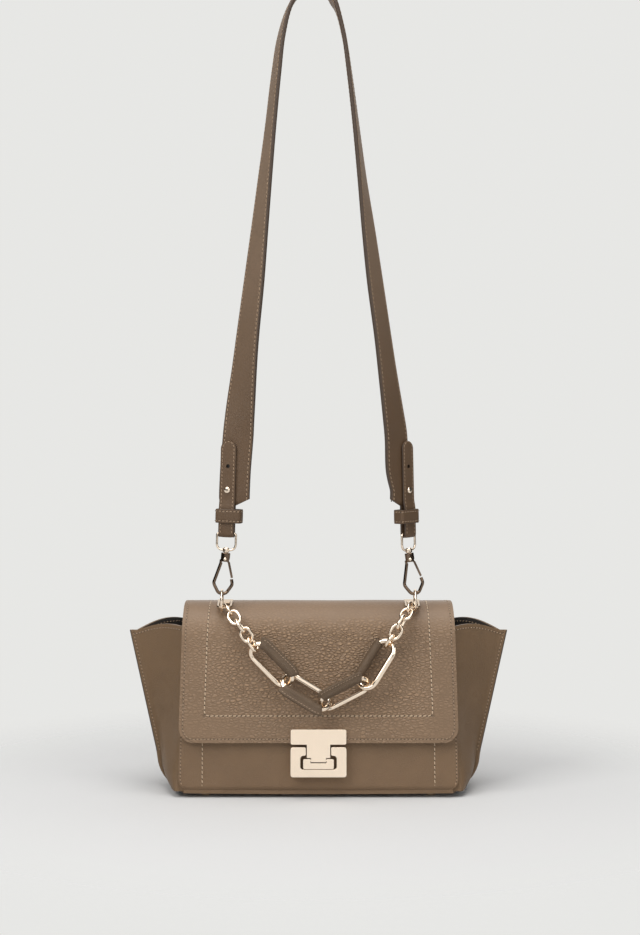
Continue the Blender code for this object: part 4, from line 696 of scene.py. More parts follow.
def painted_edge(name, colour):
    """The sealed cut edge of leather: smooth paint over faint layers."""
    n = surface(name)
    fine = n.noise(n.place(), 900.0, 3.0)
    n.link(n.mix(n.ramp(fine, 0.3, 0.7), dimmed(colour, 0.75), colour), n.shader.inputs["Base Color"])
    n.link(n.ramp(fine, 0.2, 0.8, 0.36, 0.5), n.shader.inputs["Roughness"])
    n.bump(fine, 0.00008)
    return n.owner


def thread(name, colour):
    """Twisted waxed thread."""
    n = surface(name)
    twist = n.place((2600.0, 2600.0, 2600.0))
    wave = n.add("ShaderNodeTexWave", wave_type="BANDS", bands_direction="DIAGONAL")
    wave.inputs["Scale"].default_value = 0.9
    n.link(twist, wave.inputs["Vector"])
    n.link(n.mix(wave.outputs["Fac"], dimmed(colour, 0.72), colour), n.shader.inputs["Base Color"])
    n.shader.inputs["Roughness"].default_value = 0.6
    n.bump(wave.outputs["Fac"], 0.00006)
    return n.owner


def cloth(name, colour):
    """Close woven lining with a dull face."""
    n = surface(name)
    weave = n.place((1500.0, 1500.0, 1500.0))
    a = n.add("ShaderNodeTexWave", wave_type="BANDS", bands_direction="X")
    b = n.add("ShaderNodeTexWave", wave_type="BANDS", bands_direction="Z")
    for wave in (a, b):
        wave.inputs["Scale"].default_value = 0.35
        n.link(weave, wave.inputs["Vector"])
    height = n.math("MULTIPLY", a.outputs["Fac"], b.outputs["Fac"])
    patches = n.noise(n.place(), 40.0)
    tone = n.mix(n.ramp(patches, 0.3, 0.7), dimmed(colour, 0.7), dimmed(colour, 1.25))
    n.link(n.mix(height, dimmed(colour, 0.6), tone), n.shader.inputs["Base Color"])
    n.shader.inputs["Roughness"].default_value = 0.86
    n.shader.inputs["Sheen Weight"].default_value = 0.25
    n.bump(height, 0.00012)
    return n.owner


def metal(name, colour, roughness):
    """Polished plate with a slightly uneven gloss and faint wipe marks."""
    n = surface(name)
    streaks = n.noise(n.place((120.0, 120.0, 900.0)), 1.0, 2.0)
    cloud = n.noise(n.place(), 45.0, 2.0)
    n.link(n.mix(n.ramp(cloud, 0.35, 0.7), dimmed(colour, 0.965), colour), n.shader.inputs["Base Color"])
    n.shader.inputs["Metallic"].default_value = 1.0
    n.link(n.ramp(cloud, 0.3, 0.75, roughness * 0.9, roughness * 1.12), n.shader.inputs["Roughness"])
    n.bump(streaks, 0.000004)
    return n.owner


def board_face(name, colour):
    """Fibre board with a speckled face."""
    n = surface(name)
    fibres = n.noise(n.place(), 1400.0, 4.0, 0.7)
    n.link(n.mix(n.ramp(fibres, 0.3, 0.7), dimmed(colour, 0.8), colour), n.shader.inputs["Base Color"])
    n.shader.inputs["Roughness"].default_value = 0.85
    n.bump(fibres, 0.0001)
    return n.owner


def finishes():
    """Every finish, made once from the panel's settings."""
    if FINISHES:
        return
    look = bpy.context.scene.handbag_look
    grain = look.body_grain
    low = look.strap_low_colour[:]
    flap = look.flap_colour[:]
    # The flap's pebble crowns get a painted highlight; the other leathers get painted shade in their creases.
    FINISHES["flap"] = leather("flap_leather", flap, look.flap_grain, 0.0010, 0.0, focused=True, crown_highlight=-0.62)
    FINISHES["body"] = leather("body_leather", look.body_colour[:], grain, 0.00016, 0.06)
    # Painted shade: the gussets use the body's leather and grain in a darker colour, for their less-lit sides.
    FINISHES["wing"] = leather("wing_leather", look.wing_colour[:], grain, 0.00016, 0.06)
    FINISHES["strap"] = leather("strap_leather", look.strap_colour[:], grain, 0.00012, 0.06, low)
    FINISHES["sleeve"] = leather("sleeve_leather", look.sleeve_colour[:], grain, 0.00022, 0.12)
    FINISHES["edge"] = painted_edge("edge_paint", look.edge_colour[:])
    FINISHES["contrast"] = thread("contrast_thread", look.contrast_colour[:])
    FINISHES["thread"] = thread("edge_thread", look.thread_colour[:])
    FINISHES["lining"] = cloth("lining_cloth", look.lining_colour[:])
    FINISHES["gold"] = metal("pale_gold", look.gold_colour[:], 0.16)
    FINISHES["plate"] = metal("plate_gold", look.gold_colour[:], 0.24)
    # Painted shade: the hooks' gold is darkened to near black, standing in for the dark surroundings they mirror.
    FINISHES["hook"] = metal("hook_gold", look.hook_colour[:], 0.10)
    # Painted shade: the anchors' plate is a dimmed copy of the pale gold.
    FINISHES["anchor"] = metal("anchor_gold", look.anchor_colour[:], 0.22)
    FINISHES["board"] = board_face("stiffener_board", (0.35, 0.27, 0.18))
    # Painted shade: a near-black finish for the needle holes and for the spot behind the spare strap openings, where
    # there is only shade.
    FINISHES["hole"] = painted_edge("dark_hole", (0.012, 0.009, 0.007))


def panel_depth(height):
    share = (height - PANEL_FOOT) / (PANEL_TOP - PANEL_FOOT)
    return lerp(BODY_LOW_DEPTH, BODY_HIGH_DEPTH, share)


def panel_point(side, top, x_share, height, stops=()):
    """A point of the front (-1) or back (1) panel's outer face, softly filled between its edges."""
    share = (height - PANEL_FOOT) / (top - PANEL_FOOT)
    half = lerp(PANEL_LOW_HALF, PANEL_HIGH_HALF, share)
    above = height - PANEL_FOOT
    if above < PANEL_CORNER:
        half -= PANEL_CORNER - math.sqrt(max(PANEL_CORNER**2 - (PANEL_CORNER - above) ** 2, 0.0))
    x = x_share * half
    depth = panel_depth(height)
    if above < UNDER_CURVE:
        depth -= 0.0016 * (1 - above / UNDER_CURVE) ** 2
    fill = 0.0007 * (1 - x_share**4) * math.sin(math.pi * min(max(share, 0.0), 1.0)) ** 0.7
    sway = 0.00025 * noise.noise(Vector((x * 28.0, height * 28.0, 3.0 * side)))
    seam = groove(half - abs(x) - PANEL_SEAM)
    for stop in stops:
        seam += groove(abs(x) - stop, 0.00026)
    return Vector((x, side * (depth + fill + sway - seam), height)) + SHIFT


def panel_rows(side, top, stops):
    heights = [PANEL_FOOT + PANEL_CORNER * (1 - math.cos(math.radians(a))) for a in range(0, 91, 10)]
    rest = int((top - heights[-1]) / 0.003)
    heights += [lerp(heights[-1], top, (i + 1) / rest) for i in range(rest)]
    half = (PANEL_LOW_HALF + PANEL_HIGH_HALF) / 2
    seams = [half - PANEL_SEAM, -half + PANEL_SEAM] + [s * k for s in stops for k in (1, -1)]
    shares = [x / half for x in spread(seams, 0.003, half)]
    return [[panel_point(side, top, share, height, stops) for share in shares] for height in heights]


def make_panel(name, side, top, stops, node):
    piece = loft(name, panel_rows(side, top, stops))
    face_outwards(piece, Vector((0.0, SHIFT.y, top / 2)))
    apply_modifier(piece, "SOLIDIFY", thickness=LEATHER_THICKNESS, offset=-1.0, use_even_offset=True)
    round_edges(piece, 0.0007, 3, 50.0)
    paint(piece, FINISHES["body"])
    piece.data.shade_smooth()
    settle(piece, "bag", "body_leather", node)


def panel_seams(side, top, low, high, count, seam=None):
    """Stitch runs up a panel's two sides, along its edges or at a distance from its middle."""
    stops = (seam,) if seam else ()
    runs = []
    for x_side in (LEFT, RIGHT):
        points = []
        for i in range(count):
            height = lerp(low, high, i / (count - 1))
            full = panel_point(side, top, 1.0, height).x
            reach = seam if seam else full - PANEL_SEAM
            points.append(panel_point(side, top, x_side * reach / full, height, stops))
        runs.append((points, [Vector((0.0, side, 0.08))] * count))
    return runs


def make_base():
    """The base panel: a soft tray under the bag whose welt shows below the panels."""
    rows = []
    for x in [lerp(-BASE_HALF, BASE_HALF, i / 60) for i in range(61)]:
        past = abs(x) - BASE_TAPER_START
        depth = BASE_DEPTH
        if past > 0.0:
            depth = lerp(BASE_DEPTH, BASE_END_DEPTH, min(past / BASE_TAPER, 1.0) ** 1.6)
        row = []
        for k in range(25):
            turn = lerp(-1.0, 1.0, k / 24)
            y = depth * math.sin(turn * math.pi / 2)
            sag = BASE_SAG * (0.6 + 0.4 * math.cos(turn * math.pi / 2)) * (1 - (x / BASE_HALF) ** 2)
            row.append(Vector((x, y, PANEL_FOOT - BASE_DROP - sag)) + SHIFT)
        rows.append(row)
    base = loft("base_panel_leather", rows)
    face_outwards(base, Vector((0.0, SHIFT.y, 0.07)))
    apply_modifier(base, "SOLIDIFY", thickness=BASE_LEATHER, offset=-1.0)
    round_edges(base, 0.0011, 3, 50.0)
    paint(base, FINISHES["body"])
    base.data.shade_smooth()
    settle(base, "bag", "body_leather", "base_panel")


def wing_reach(share):
    """How far out the pinched edge lies at a share of the gusset's height."""
    height = lerp(WING_BOTTOM, WING_TOP_AT_TIP, share)
    near = [min(max(height + step, WING_BOTTOM), WING_TOP_AT_TIP) for step in (-0.001, 0.0, 0.001)]
    return sum(table(WING_HEIGHTS, WING_REACHES, spot) for spot in near) / 3


def wing_section(side, share):
    """Pairs of outer and inner points across one gusset, from the front panel round the wing to the back."""
    at_panel = lerp(WING_BOTTOM, WING_TOP_AT_PANEL, share)
    at_tip = lerp(WING_BOTTOM, WING_TOP_AT_TIP, share)
    edge = panel_depth(at_panel) - LEATHER_THICKNESS - 2 * GAP
    reach = wing_reach(share)
    leave = lerp(PANEL_LOW_HALF, PANEL_HIGH_HALF, share)
    pinch = reach - WING_PINCH * (0.5 + share / 2)
    foot = 1.0 - min(share / 0.30, 1.0)
    hollow = lerp(-0.0030, 0.0024, min(share / 0.42, 1.0))
    pairs = [((leave - 0.009, edge, 0.0), (leave - 0.009, edge - WING_LEATHER, 0.0))]
    pairs.append(((leave - 0.003, edge, 0.0), (leave - 0.003, edge - WING_LEATHER, 0.0)))
    steps = 16
    for k in range(steps):
        part = k / steps
        bend = math.sin(math.pi * part)
        crease = 0.0005 * math.sin(3 * math.pi * part + 4.0 * share) * (1 - share)
        out = lerp(part, math.sin(part * math.pi / 2), foot)
        back = lerp(1.0 - part, math.cos(part * math.pi / 2), foot)
        x = leave + (pinch - leave) * out
        y = WING_PINCH_HALF + (edge - WING_PINCH_HALF) * back - hollow * bend + crease
        x -= 0.0010 * math.exp(-((part / 0.06) ** 2))
        inner = (x - WING_LEATHER * 0.9, max(y - WING_LEATHER, 0.0004), part)
        pairs.append(((x, y, part), inner))
    inside = (pinch - WING_LEATHER * 2, 0.0002, 1.0)
    seam_x = reach - WING_SEAM
    for x, half in (
        (pinch, WING_PINCH_HALF),
        (seam_x - 0.0008, WING_PINCH_HALF * 0.97),
        (seam_x, WING_PINCH_HALF * 0.80),
        (seam_x + 0.0008, WING_PINCH_HALF * 0.95),
        (reach - 0.0011, WING_PINCH_HALF * 0.95),
        (reach - 0.0003, WING_PINCH_HALF * 0.62),
        (reach, 0.0003),
    ):
        pairs.append(((x, half, 1.0), inside))

    def placed(spot, turn):
        x, y, part = spot
        z = lerp(at_panel, at_tip, part)
        arch = WING_FRONT_ARCH if turn < 0 else WING_BACK_ARCH
        lift = arch * max((share - 0.6) / 0.4, 0.0) ** 2 * math.sin(math.pi * part**0.9)
        return Vector((side * x, turn * y, z + lift)) + SHIFT

    front = [(placed(o, -1), placed(i, -1)) for o, i in pairs]
    back = [(placed(o, 1), placed(i, 1)) for o, i in pairs]
    return front + back[::-1]


def make_wing(side):
    shares = sorted({i / 40 for i in range(41)} | {0.005, 0.012, 0.0375, 0.0625, 0.9875, 0.9812, 0.9688})
    sections = [wing_section(side, share) for share in shares]
    rows = []
    for section in sections:
        rows.append([o for o, _ in section] + [i for _, i in reversed(section)])
    piece = loft(SIDES[side] + "_wing", rows, closed=True)
    close_ends_of_loft(piece, rows)
    round_edges(piece, 0.00035, 2, 60.0)

    def is_edge(face):
        if face.center.z < WING_NOTCH:
            return False
        share = (face.center.z - WING_BOTTOM) / (WING_TOP_AT_TIP - WING_BOTTOM)
        out = wing_reach(min(share, 1.0)) - abs(face.center.x)
        return out < 0.00075 and abs(face.center.y - SHIFT.y) < 0.0024

    paint(piece, FINISHES["wing"], FINISHES["edge"], is_edge)
    piece.data.materials.append(FINISHES["lining"])
    for face in piece.data.polygons:
        if face.normal.y * (face.center.y - SHIFT.y) < -0.0002 and face.normal.z < 0.6:
            face.material_index = 2
    smooth_by_angle(piece, 50.0)
    settle(piece, "bag", "body_leather", SIDES[side] + "_gusset")


def close_ends_of_loft(piece, rows):
    """Closes the bottom and the top of a gusset's wall between its outer and inner lines, pair by pair."""
    work = bmesh.new()
    work.from_mesh(piece.data)
    work.verts.ensure_lookup_table()
    for row in (rows[0], rows[-1]):
        found = []
        for point in row:
            found.append(min(work.verts, key=lambda v: (v.co - point).length_squared))
        count = len(row)
        for i in range(count // 2 - 1):
            quad = [found[i], found[i + 1], found[count - 2 - i], found[count - 1 - i]]
            unique = []
            for corner in quad:
                if corner not in unique:
                    unique.append(corner)
            if len(unique) >= 3 and not work.faces.get(unique):
                work.faces.new(unique)
    bmesh.ops.recalc_face_normals(work, faces=work.faces)
    work.to_mesh(piece.data)
    work.free()


def wing_seams(side):
    """Stitches down the pinched wing and along the top edge, on both faces."""
    runs = []
    for turn in (0, -1):
        sections = [wing_section(side, lerp(0.20, 0.985, i / 39)) for i in range(40)]
        index = 20 if turn == 0 else -21
        points = [section[index][0] for section in sections]
        out = Vector((0.0, -1.0 if turn == 0 else 1.0, 0.0))
        runs.append((points, [out] * len(points)))
        top = wing_section(side, 1.0)
        below = wing_section(side, 0.978)
        spots = below[2:20] if turn == 0 else below[-20:-2]
        upper = top[2:20] if turn == 0 else top[-20:-2]
        points = [outer for outer, _ in spots]
        outs = []
        for k in range(len(points)):
            a = points[max(k - 1, 0)]
            b = points[min(k + 1, len(points) - 1)]
            rise = upper[k][0] - points[k]
            out = (b - a).cross(rise).normalized()
            if out.y * (-1 if turn == 0 else 1) < 0:
                out = -out
            outs.append(out)
        runs.append((points, outs))
        if turn:
            runs.append(([inner for _, inner in spots], [-out for out in outs]))
    return runs


def flap_path():
    """The flap's outer face from the strip sewn to the back panel, over the crown, to the bottom edge."""
    strip = [Vector((0.0, panel_depth(z) + FLAP_THICKNESS + 0.0002, z)) for z in (STRIP_FOOT, STRIP_FOOT + 0.008)]
    corners = [
        Vector((0.0, HINGE_DEPTH, HINGE_HEIGHT - 0.0030)),
        Vector((0.0, HINGE_DEPTH - GAP, CROWN_HEIGHT - CROWN_FALL)),
        Vector((0.0, 0.0, CROWN_HEIGHT)),
        Vector((0.0, -SHOULDER_DEPTH, CROWN_HEIGHT)),
        Vector((0.0, -FLAP_LOW_DEPTH, FLAP_LOW_HEIGHT)) - FLAP_UP * FLAP_HANG,
    ]
    over = rounded_path(corners, [0.0, 0.0040, 0.0500, SHOULDER_BEND, 0.0], steps=22)
    return strip + over


def even(points, step):
    """The same line with its points at even distances."""
    run = lengths_along(points)
    ys, zs = [p.y for p in points], [p.z for p in points]
    count = int(run[-1] / step)
    stops = [run[-1] * k / count for k in range(count + 1)]
    return [Vector((0.0, table(run, ys, at), table(run, zs, at))) for at in stops]


class FlapSheet:
    """Maps (across, distance from the top of the strip) onto the flap's outer face."""

    def __init__(self):
        self.line = even(flap_path(), 0.0006)
        self.run = lengths_along(self.line)
        self.total = self.run[-1]
        self.ys = [p.y for p in self.line]
        self.zs = [p.z for p in self.line]

    def at(self, stop):
        return Vector((0.0, table(self.run, self.ys, stop), table(self.run, self.zs, stop)))

    def half(self, stop):
        half = lerp(FLAP_HIGH_HALF, FLAP_LOW_HALF, max((stop - 0.025) / (self.total - 0.025), 0.0))
        past = max(stop - (self.total - FLAP_CORNER), 0.0)
        return half - (FLAP_CORNER - math.sqrt(max(FLAP_CORNER**2 - past**2, 0.0)))

    def out(self, stop):
        a, b = self.at(max(stop - 0.0008, 0.0)), self.at(min(stop + 0.0008, self.total))
        return ACROSS.cross(b - a).normalized() * -1.0

    def point(self, x, stop, dip=0.0):
        lift = 0.00035 * noise.noise(Vector((x * 22.0, stop * 22.0, 1.7)))
        side = 1 - min(abs(x) / self.half(self.total * 0.6), 1.0) ** 6
        lift = lift * side if stop > 0.03 else 0.0
        return self.at(stop) + ACROSS * x + self.out(stop) * (lift - dip) + SHIFT


def round_the_bottom(side, bend, low, degrees):
    """A run down the flap's left side, round its lower corners and up its right side."""
    x0 = side[-1][0]
    turns = [math.radians(d) for d in degrees]
    half = side + [(x0 + bend - bend * math.cos(a), low - bend + bend * math.sin(a)) for a in turns]
    bottom = [(lerp(x0 + bend, -x0 - bend, i / 60), low) for i in range(61)]
    return half + bottom + [(-x, s) for x, s in reversed(half)]


def band_path(sheet, top):
    """The inner stitch line, open at the top."""
    low = sheet.total - BAND_LOW
    bend = 0.0042
    stops = [lerp(top, low - bend, i / 50) for i in range(51)]
    side = [(-(sheet.half(s) - BAND_SEAM - BAND_LEAN * (1 - s / sheet.total)), s) for s in stops]
    return round_the_bottom(side, bend, low, range(10, 90, 10))


def edge_path(sheet, start):
    """The outer stitch line, parallel to the flap's edge."""
    stops = [lerp(start, sheet.total - FLAP_CORNER, i / 60) for i in range(61)]
    side = [(-(sheet.half(s) - EDGE_SEAM), s) for s in stops]
    return round_the_bottom(side, FLAP_CORNER - EDGE_SEAM, sheet.total - EDGE_SEAM, range(8, 90, 8))


def make_flap():
    sheet = FlapSheet()
    stops = [0.0]
    while stops[-1] < sheet.total - FLAP_CORNER - 0.001:
        stops.append(stops[-1] + 0.0017)
    stops[-1] = sheet.total - FLAP_CORNER
    stops += [sheet.total - FLAP_CORNER + FLAP_CORNER * math.sin(math.radians(a)) for a in range(6, 91, 6)]
    low_seams = (sheet.total - BAND_LOW, sheet.total - EDGE_SEAM)
    half = FLAP_HIGH_HALF
    seams = [half - EDGE_SEAM, -half + EDGE_SEAM, half - BAND_SEAM, -half + BAND_SEAM]
    columns = [x / half for x in spread(seams, 0.0019, half)]
    extra = [s + d for s in low_seams for d in (-0.0009, 0.0, 0.0009)]
    stops = sorted(set(stops) | {s for s in extra if s < sheet.total})
    rows, marks = [], []
    for stop in stops:
        row, mark = [], []
        edge = sheet.half(stop)
        for share in columns:
            x = share * edge
            inner = edge - abs(x)
            dip = groove(inner - EDGE_SEAM, EDGE_DIP)
            if stop < sheet.total - BAND_LOW + 0.001:
                dip += groove(inner - BAND_SEAM - BAND_LEAN * (1 - stop / sheet.total), BAND_DIP)
            if abs(x) < edge - BAND_SEAM + 0.001:
                dip += groove(stop - low_seams[0], BAND_DIP)
            dip += groove(stop - low_seams[1], EDGE_DIP)
            row.append(sheet.point(x, stop, dip * 0.9))
            # The groove's depth here, kept for the painted shade along the stitch lines.
            mark.append(min(dip / EDGE_DIP, 1.0))
        rows.append(row)
        marks.append(mark)
    flap = loft("flap_leather", rows, marks=marks)
    face_outwards(flap, Vector((0.0, SHIFT.y, 0.09)))
    apply_modifier(flap, "SOLIDIFY", thickness=FLAP_THICKNESS, offset=-1.0)
    round_edges(flap, 0.0009, 4, 55.0)
    low = (Vector((0.0, -FLAP_LOW_DEPTH, FLAP_LOW_HEIGHT)) - FLAP_UP * FLAP_HANG).z - GAP
    for vertex in flap.data.vertices:
        vertex.co.z = max(vertex.co.z, low)
    paint(flap, FINISHES["flap"])
    flap.data.shade_smooth()
    activate(flap)
    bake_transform(flap)
    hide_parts("flap")
    make_flap_lining(sheet)
    hinge_at = next(s for s in stops if sheet.at(s).y < 0.0270)
    edge = edge_path(sheet, hinge_at)
    band = band_path(sheet, hinge_at + 0.030)

    def run_of(places):
        return [sheet.point(x, s, 0.0002) for x, s in places], [sheet.out(s) for _, s in places]

    sew("flap_edge_stitches", [run_of(edge)], "flap", "flap", "body_leather")
    sew("flap_band_stitches", [run_of(band)], "band", "flap", "body_leather")
    reach = sheet.half(0.01) - EDGE_SEAM
    heights = [lerp(0.003, 0.020, i / 9) for i in range(10)]
    strip = [
        [(-reach, s) for s in heights],
        [(lerp(-1.0, 1.0, i / 60) * reach, 0.003) for i in range(61)],
        [(reach, s) for s in heights],
    ]
    sew("strip_stitches", [run_of(p) for p in strip], "body", "bag", "body_leather")


def make_flap_lining(sheet):
    start = next(s for s in [i * 0.001 for i in range(200)] if sheet.at(s).y < 0.0250)
    end = sheet.total - 0.003
    rows = []
    for i in range(70):
        stop = lerp(start, end, i / 69)
        half = sheet.half(min(stop, sheet.total - 0.004)) - 0.0030
        inward = FLAP_THICKNESS + GAP
        row = []
        for k in range(31):
            x = lerp(-half, half, k / 30)
            row.append(sheet.at(stop) + ACROSS * x - sheet.out(stop) * inward + SHIFT)
        rows.append(row)
    piece = loft("flap_lining_cloth", rows)
    face_outwards(piece, Vector((0.0, SHIFT.y, 0.09)))
    apply_modifier(piece, "SOLIDIFY", thickness=0.0009, offset=-1.0, use_even_offset=True)
    paint(piece, FINISHES["lining"])
    smooth_by_angle(piece, 50.0)
    settle(piece, "flap", "lining_cloth", "flap_lining")


def make_lining():
    """The cloth bag inside the shell, following its winged ends."""
    rows = []
    for i in range(24):
        share = i / 23
        height = lerp(LINING_FLOOR, LINING_TOP, share)
        depth = panel_depth(height) - LEATHER_THICKNESS - LINING_CLEARANCE - 4 * GAP - 0.00125 * (1 - share)
        corner = PANEL_HIGH_HALF - LINING_CLEARANCE - 0.0050
        body_share = (height - WING_BOTTOM) / (WING_TOP_AT_TIP - WING_BOTTOM)
        tip = max(wing_reach(min(body_share, 1.0)) - 0.0150 - 0.0070 * share, corner + 0.0030)
        shape = []
        outline = [(-corner, -depth), (corner, -depth), (tip, 0.0), (corner, depth), (-corner, depth), (-tip, 0.0)]
        for (x0, y0), (x1, y1) in zip(outline, outline[1:] + outline[:1]):
            for k in range(8):
                part = k / 8
                x, y = lerp(x0, x1, part), lerp(y0, y1, part)
                ripple = 0.0003 * math.sin(math.pi * part) * noise.noise(Vector((x * 40, y0 * 90, height * 50)))
                fall = LINING_FALL * share * max(abs(x) - corner, 0.0) / (tip - corner)
                shape.append(Vector((x, y - math.copysign(abs(ripple), y0), height - fall)) + SHIFT)
        rows.append(shape)
    piece = loft("lining_bag", rows, closed=True)
    work = bmesh.new()
    work.from_mesh(piece.data)
    low = [v for v in work.verts if abs(v.co.z - LINING_FLOOR) < 0.00001]
    edges = [e for e in work.edges if e.verts[0] in low and e.verts[1] in low]
    bmesh.ops.contextual_create(work, geom=edges)
    bmesh.ops.recalc_face_normals(work, faces=work.faces)
    work.to_mesh(piece.data)
    work.free()
    face_outwards(piece, Vector((0.0, SHIFT.y, 0.07)))
    apply_modifier(piece, "SOLIDIFY", thickness=0.0010, offset=-1.0)
    paint(piece, FINISHES["lining"])
    smooth_by_angle(piece, 40.0)
    settle(piece, "bag", "lining_cloth", "lining")


def make_clasp():
    for node in ("clasp_plate", "catch_plate", "latch_bar"):
        polished(node, FINISHES["plate"], bevel=0.00028)
    for node in ("clasp_back_plate", "catch_back_plate"):
        polished(node, FINISHES["plate"], bevel=0.0002)
    polished("latch_pin", FINISHES["gold"])
    for node in ("foot_front_left", "foot_front_right", "foot_back_left", "foot_back_right"):
        polished(node, FINISHES["gold"], bevel=0.0003)


def on_flap_front(height):
    return -FLAP_LOW_DEPTH + (height - FLAP_LOW_HEIGHT) * math.tan(FLAP_LEAN)


def large_points():
    x, height = LARGE_START
    points = []
    for heading in (None, *LARGE_HEADINGS):
        if heading is not None:
            x += LARGE_PITCH * math.cos(math.radians(heading))
            height += LARGE_PITCH * math.sin(math.radians(heading)) * math.cos(FLAP_LEAN)
        points.append(Vector((x, on_flap_front(height), height)) + FLAP_OUT * 0.0086)
    return points


def link_frame(start, end, outward, roll):
    along = (end - start).normalized()
    flat = (outward - along * outward.dot(along)).normalized()
    aside = flat.cross(along)
    turn = math.radians(roll)
    width_way = aside * math.cos(turn) + flat * math.sin(turn)
    face_way = along.cross(width_way)
    middle = (start + end) / 2 + SHIFT
    return Matrix.Translation(middle) @ Matrix((along, width_way, face_way)).transposed().to_4x4()


def link_line(length, width, bend, steps):
    """The centre line of a straight-sided link with rounded corners, lengthwise along X."""
    half_l, half_w = length / 2, width / 2
    corners = [
        Vector((-half_l, -half_w, 0.0)),
        Vector((half_l, -half_w, 0.0)),
        Vector((half_l, half_w, 0.0)),
        Vector((-half_l, half_w, 0.0)),
    ]
    return rounded_path(corners, [bend] * 4, steps=steps, closed=True)


def make_large_link(index, place, side):
    """A round-wired link whose bare side carries one engraved line on each face."""
    wide = LARGE_WIDTH - 2 * LARGE_WIRE + 2 * LARGE_FULLER
    line = link_line(LARGE_LENGTH - 2 * LARGE_WIRE + 2 * LARGE_FULLER, wide, wide / 2 * 0.97, 9)
    full = filled(line, 0.0025)
    rows = []
    count = len(full)
    around = 28
    for i, point in enumerate(full):
        along = (full[(i + 1) % count] - full[i - 1]).normalized()
        out = Vector((along.y, -along.x, 0.0))
        bare = 0.0
        if point.y * side < 0:
            bare = max(min((LARGE_LENGTH / 2 - LARGE_WIDTH / 2 + LARGE_WIRE - abs(point.x)) / 0.003, 1.0), 0.0)
        row = []
        for k in range(around):
            turn = 2 * math.pi * k / around
            radius = LARGE_WIRE + LARGE_FULLER + BARE_FULLERS[index - 1] * bare
            for face in (0.62, -0.62):
                radius -= 0.00024 * math.exp(-(((math.cos(turn) - face) / 0.085) ** 2))
            row.append(place @ (point + out * (radius * math.cos(turn)) + UPWARD * (radius * math.sin(turn))))
        rows.append(row)
    rows.append(rows[0])
    piece = loft(f"large_link_{index}_gold", rows, closed=True)
    edit(piece, merge, face_out)
    piece.data.shade_smooth()
    paint(piece, FINISHES["gold"])
    settle(piece, f"large_link_{index}", "pale_gold", f"large_link_{index}")


def make_sleeve(index, place, side):
    """Leather folded round one long side of a link, gathered at its ends and sewn along a fin."""
    bend = LARGE_WIDTH / 2 - LARGE_WIRE
    reach = LARGE_LENGTH / 2 - LARGE_WIRE - bend
    end_turn = math.radians(SLEEVE_TURNS[index - 1])
    spots = []
    for step in range(12):
        turn = end_turn * (1 - step / 11)
        spots.append((-reach - bend * math.sin(turn), bend * math.cos(turn), -turn))
    for step in range(1, 16):
        spots.append((lerp(-reach, reach, step / 16), bend, 0.0))
    for step in range(12):
        turn = end_turn * step / 11
        spots.append((reach + bend * math.sin(turn), bend * math.cos(turn), turn))
    total = len(spots)
    around = 36
    fin_height = SLEEVE_FINS[index - 1]
    rows, fin_line, fin_out = [], [], []
    for i, (x, y, turn) in enumerate(spots):
        share = i / (total - 1)
        to_end = min(share, 1 - share)
        centre = Vector((x, side * y, 0.0))
        normal = Vector((math.sin(turn), side * math.cos(turn), 0.0))
        pleat = 0.055 * math.exp(-((to_end / 0.10) ** 2))
        full = 1.0 - 0.10 * math.exp(-((to_end / 0.03) ** 2))
        row = []
        for k in range(around):
            angle = 2 * math.pi * k / around
            c, s = math.cos(angle), math.sin(angle)
            radius = SLEEVE_RADIUS * full * (1 + pleat * math.sin(9 * angle + 2.0 * share))
            nx, fx = radius * c, radius * s
            if c > 0.80:
                fin = (c - 0.80) / 0.20
                nx += fin_height * min(fin * 1.6, 1.0)
                fx *= 0.62
            row.append(place @ (centre + normal * nx + UPWARD * fx))
        rows.append(row)
        fin_line.append(place @ (centre + normal * (SLEEVE_RADIUS + fin_height * 0.42) + UPWARD * SLEEVE_FIN_HALF))
        fin_out.append(place.to_3x3() @ UPWARD)
    for end in (0, -1):
        x, y, turn = spots[end]
        centre = place @ Vector((x, side * y, 0.0))
        bore_row = [centre + (p - centre).normalized() * SLEEVE_BORE for p in rows[end]]
        mid_row = [centre + (p - centre) * 0.86 for p in rows[end]]
        rows = [bore_row, mid_row] + rows if end == 0 else rows + [mid_row, bore_row]
    turns = [2 * math.pi * k / around for k in range(around)]
    for x, y, turn in reversed(spots[1:-1:4]):
        centre = place @ Vector((x, side * y, 0.0))
        normal = place.to_3x3() @ Vector((math.sin(turn), side * math.cos(turn), 0.0))
        flat = place.to_3x3() @ UPWARD
        rows.append([centre + (normal * math.cos(a) + flat * math.sin(a)) * SLEEVE_BORE for a in turns])
    rows.append(rows[0])
    piece = loft(f"link_sleeve_{index}_leather", rows, closed=True)
    edit(piece, merge, face_out)
    smooth_by_angle(piece, 60.0)
    paint(piece, FINISHES["sleeve"])
    body = f"large_link_{index}"
    settle(piece, body, "body_leather", f"link_sleeve_{index}")
    fin_line, fin_out = fin_line[3:-3], fin_out[3:-3]
    flipped = [p - 2 * SLEEVE_FIN_HALF * o for p, o in zip(fin_line, fin_out)]
    runs = [(fin_line, fin_out), (flipped, [-o for o in fin_out])]
    sew(f"sleeve_{index}_stitches", runs, "sleeve", body, "body_leather")


def make_chain():
    points = large_points()
    for i, roll in enumerate(LARGE_ROLLS):
        place = link_frame(points[i], points[i + 1], FLAP_OUT, roll)
        make_large_link(i + 1, place, SLEEVE_SIDES[i])
        make_sleeve(i + 1, place, SLEEVE_SIDES[i])
    for side in SIDES.values():
        for i in range(1, SMALL_COUNT + 1):
            fuller = FIRST_SMALL_FULLER if i == 1 else SMALL_FULLER
            polished(f"{side}_link_{i}", FINISHES["gold"], level=2, fuller=fuller)


def reach_nose(gate):
    """Draws the gate's tip out until it all but meets the hook's nose."""
    low = min(gate.data.vertices, key=lambda v: v.co.z).co.copy()
    high = max(gate.data.vertices, key=lambda v: v.co.z).co.copy()
    reach = (low - high).normalized() * GATE_REACH
    for vertex in gate.data.vertices:
        share = (high.z - vertex.co.z) / (high.z - low.z)
        vertex.co += reach * max(share * 10 - 9, 0.0)


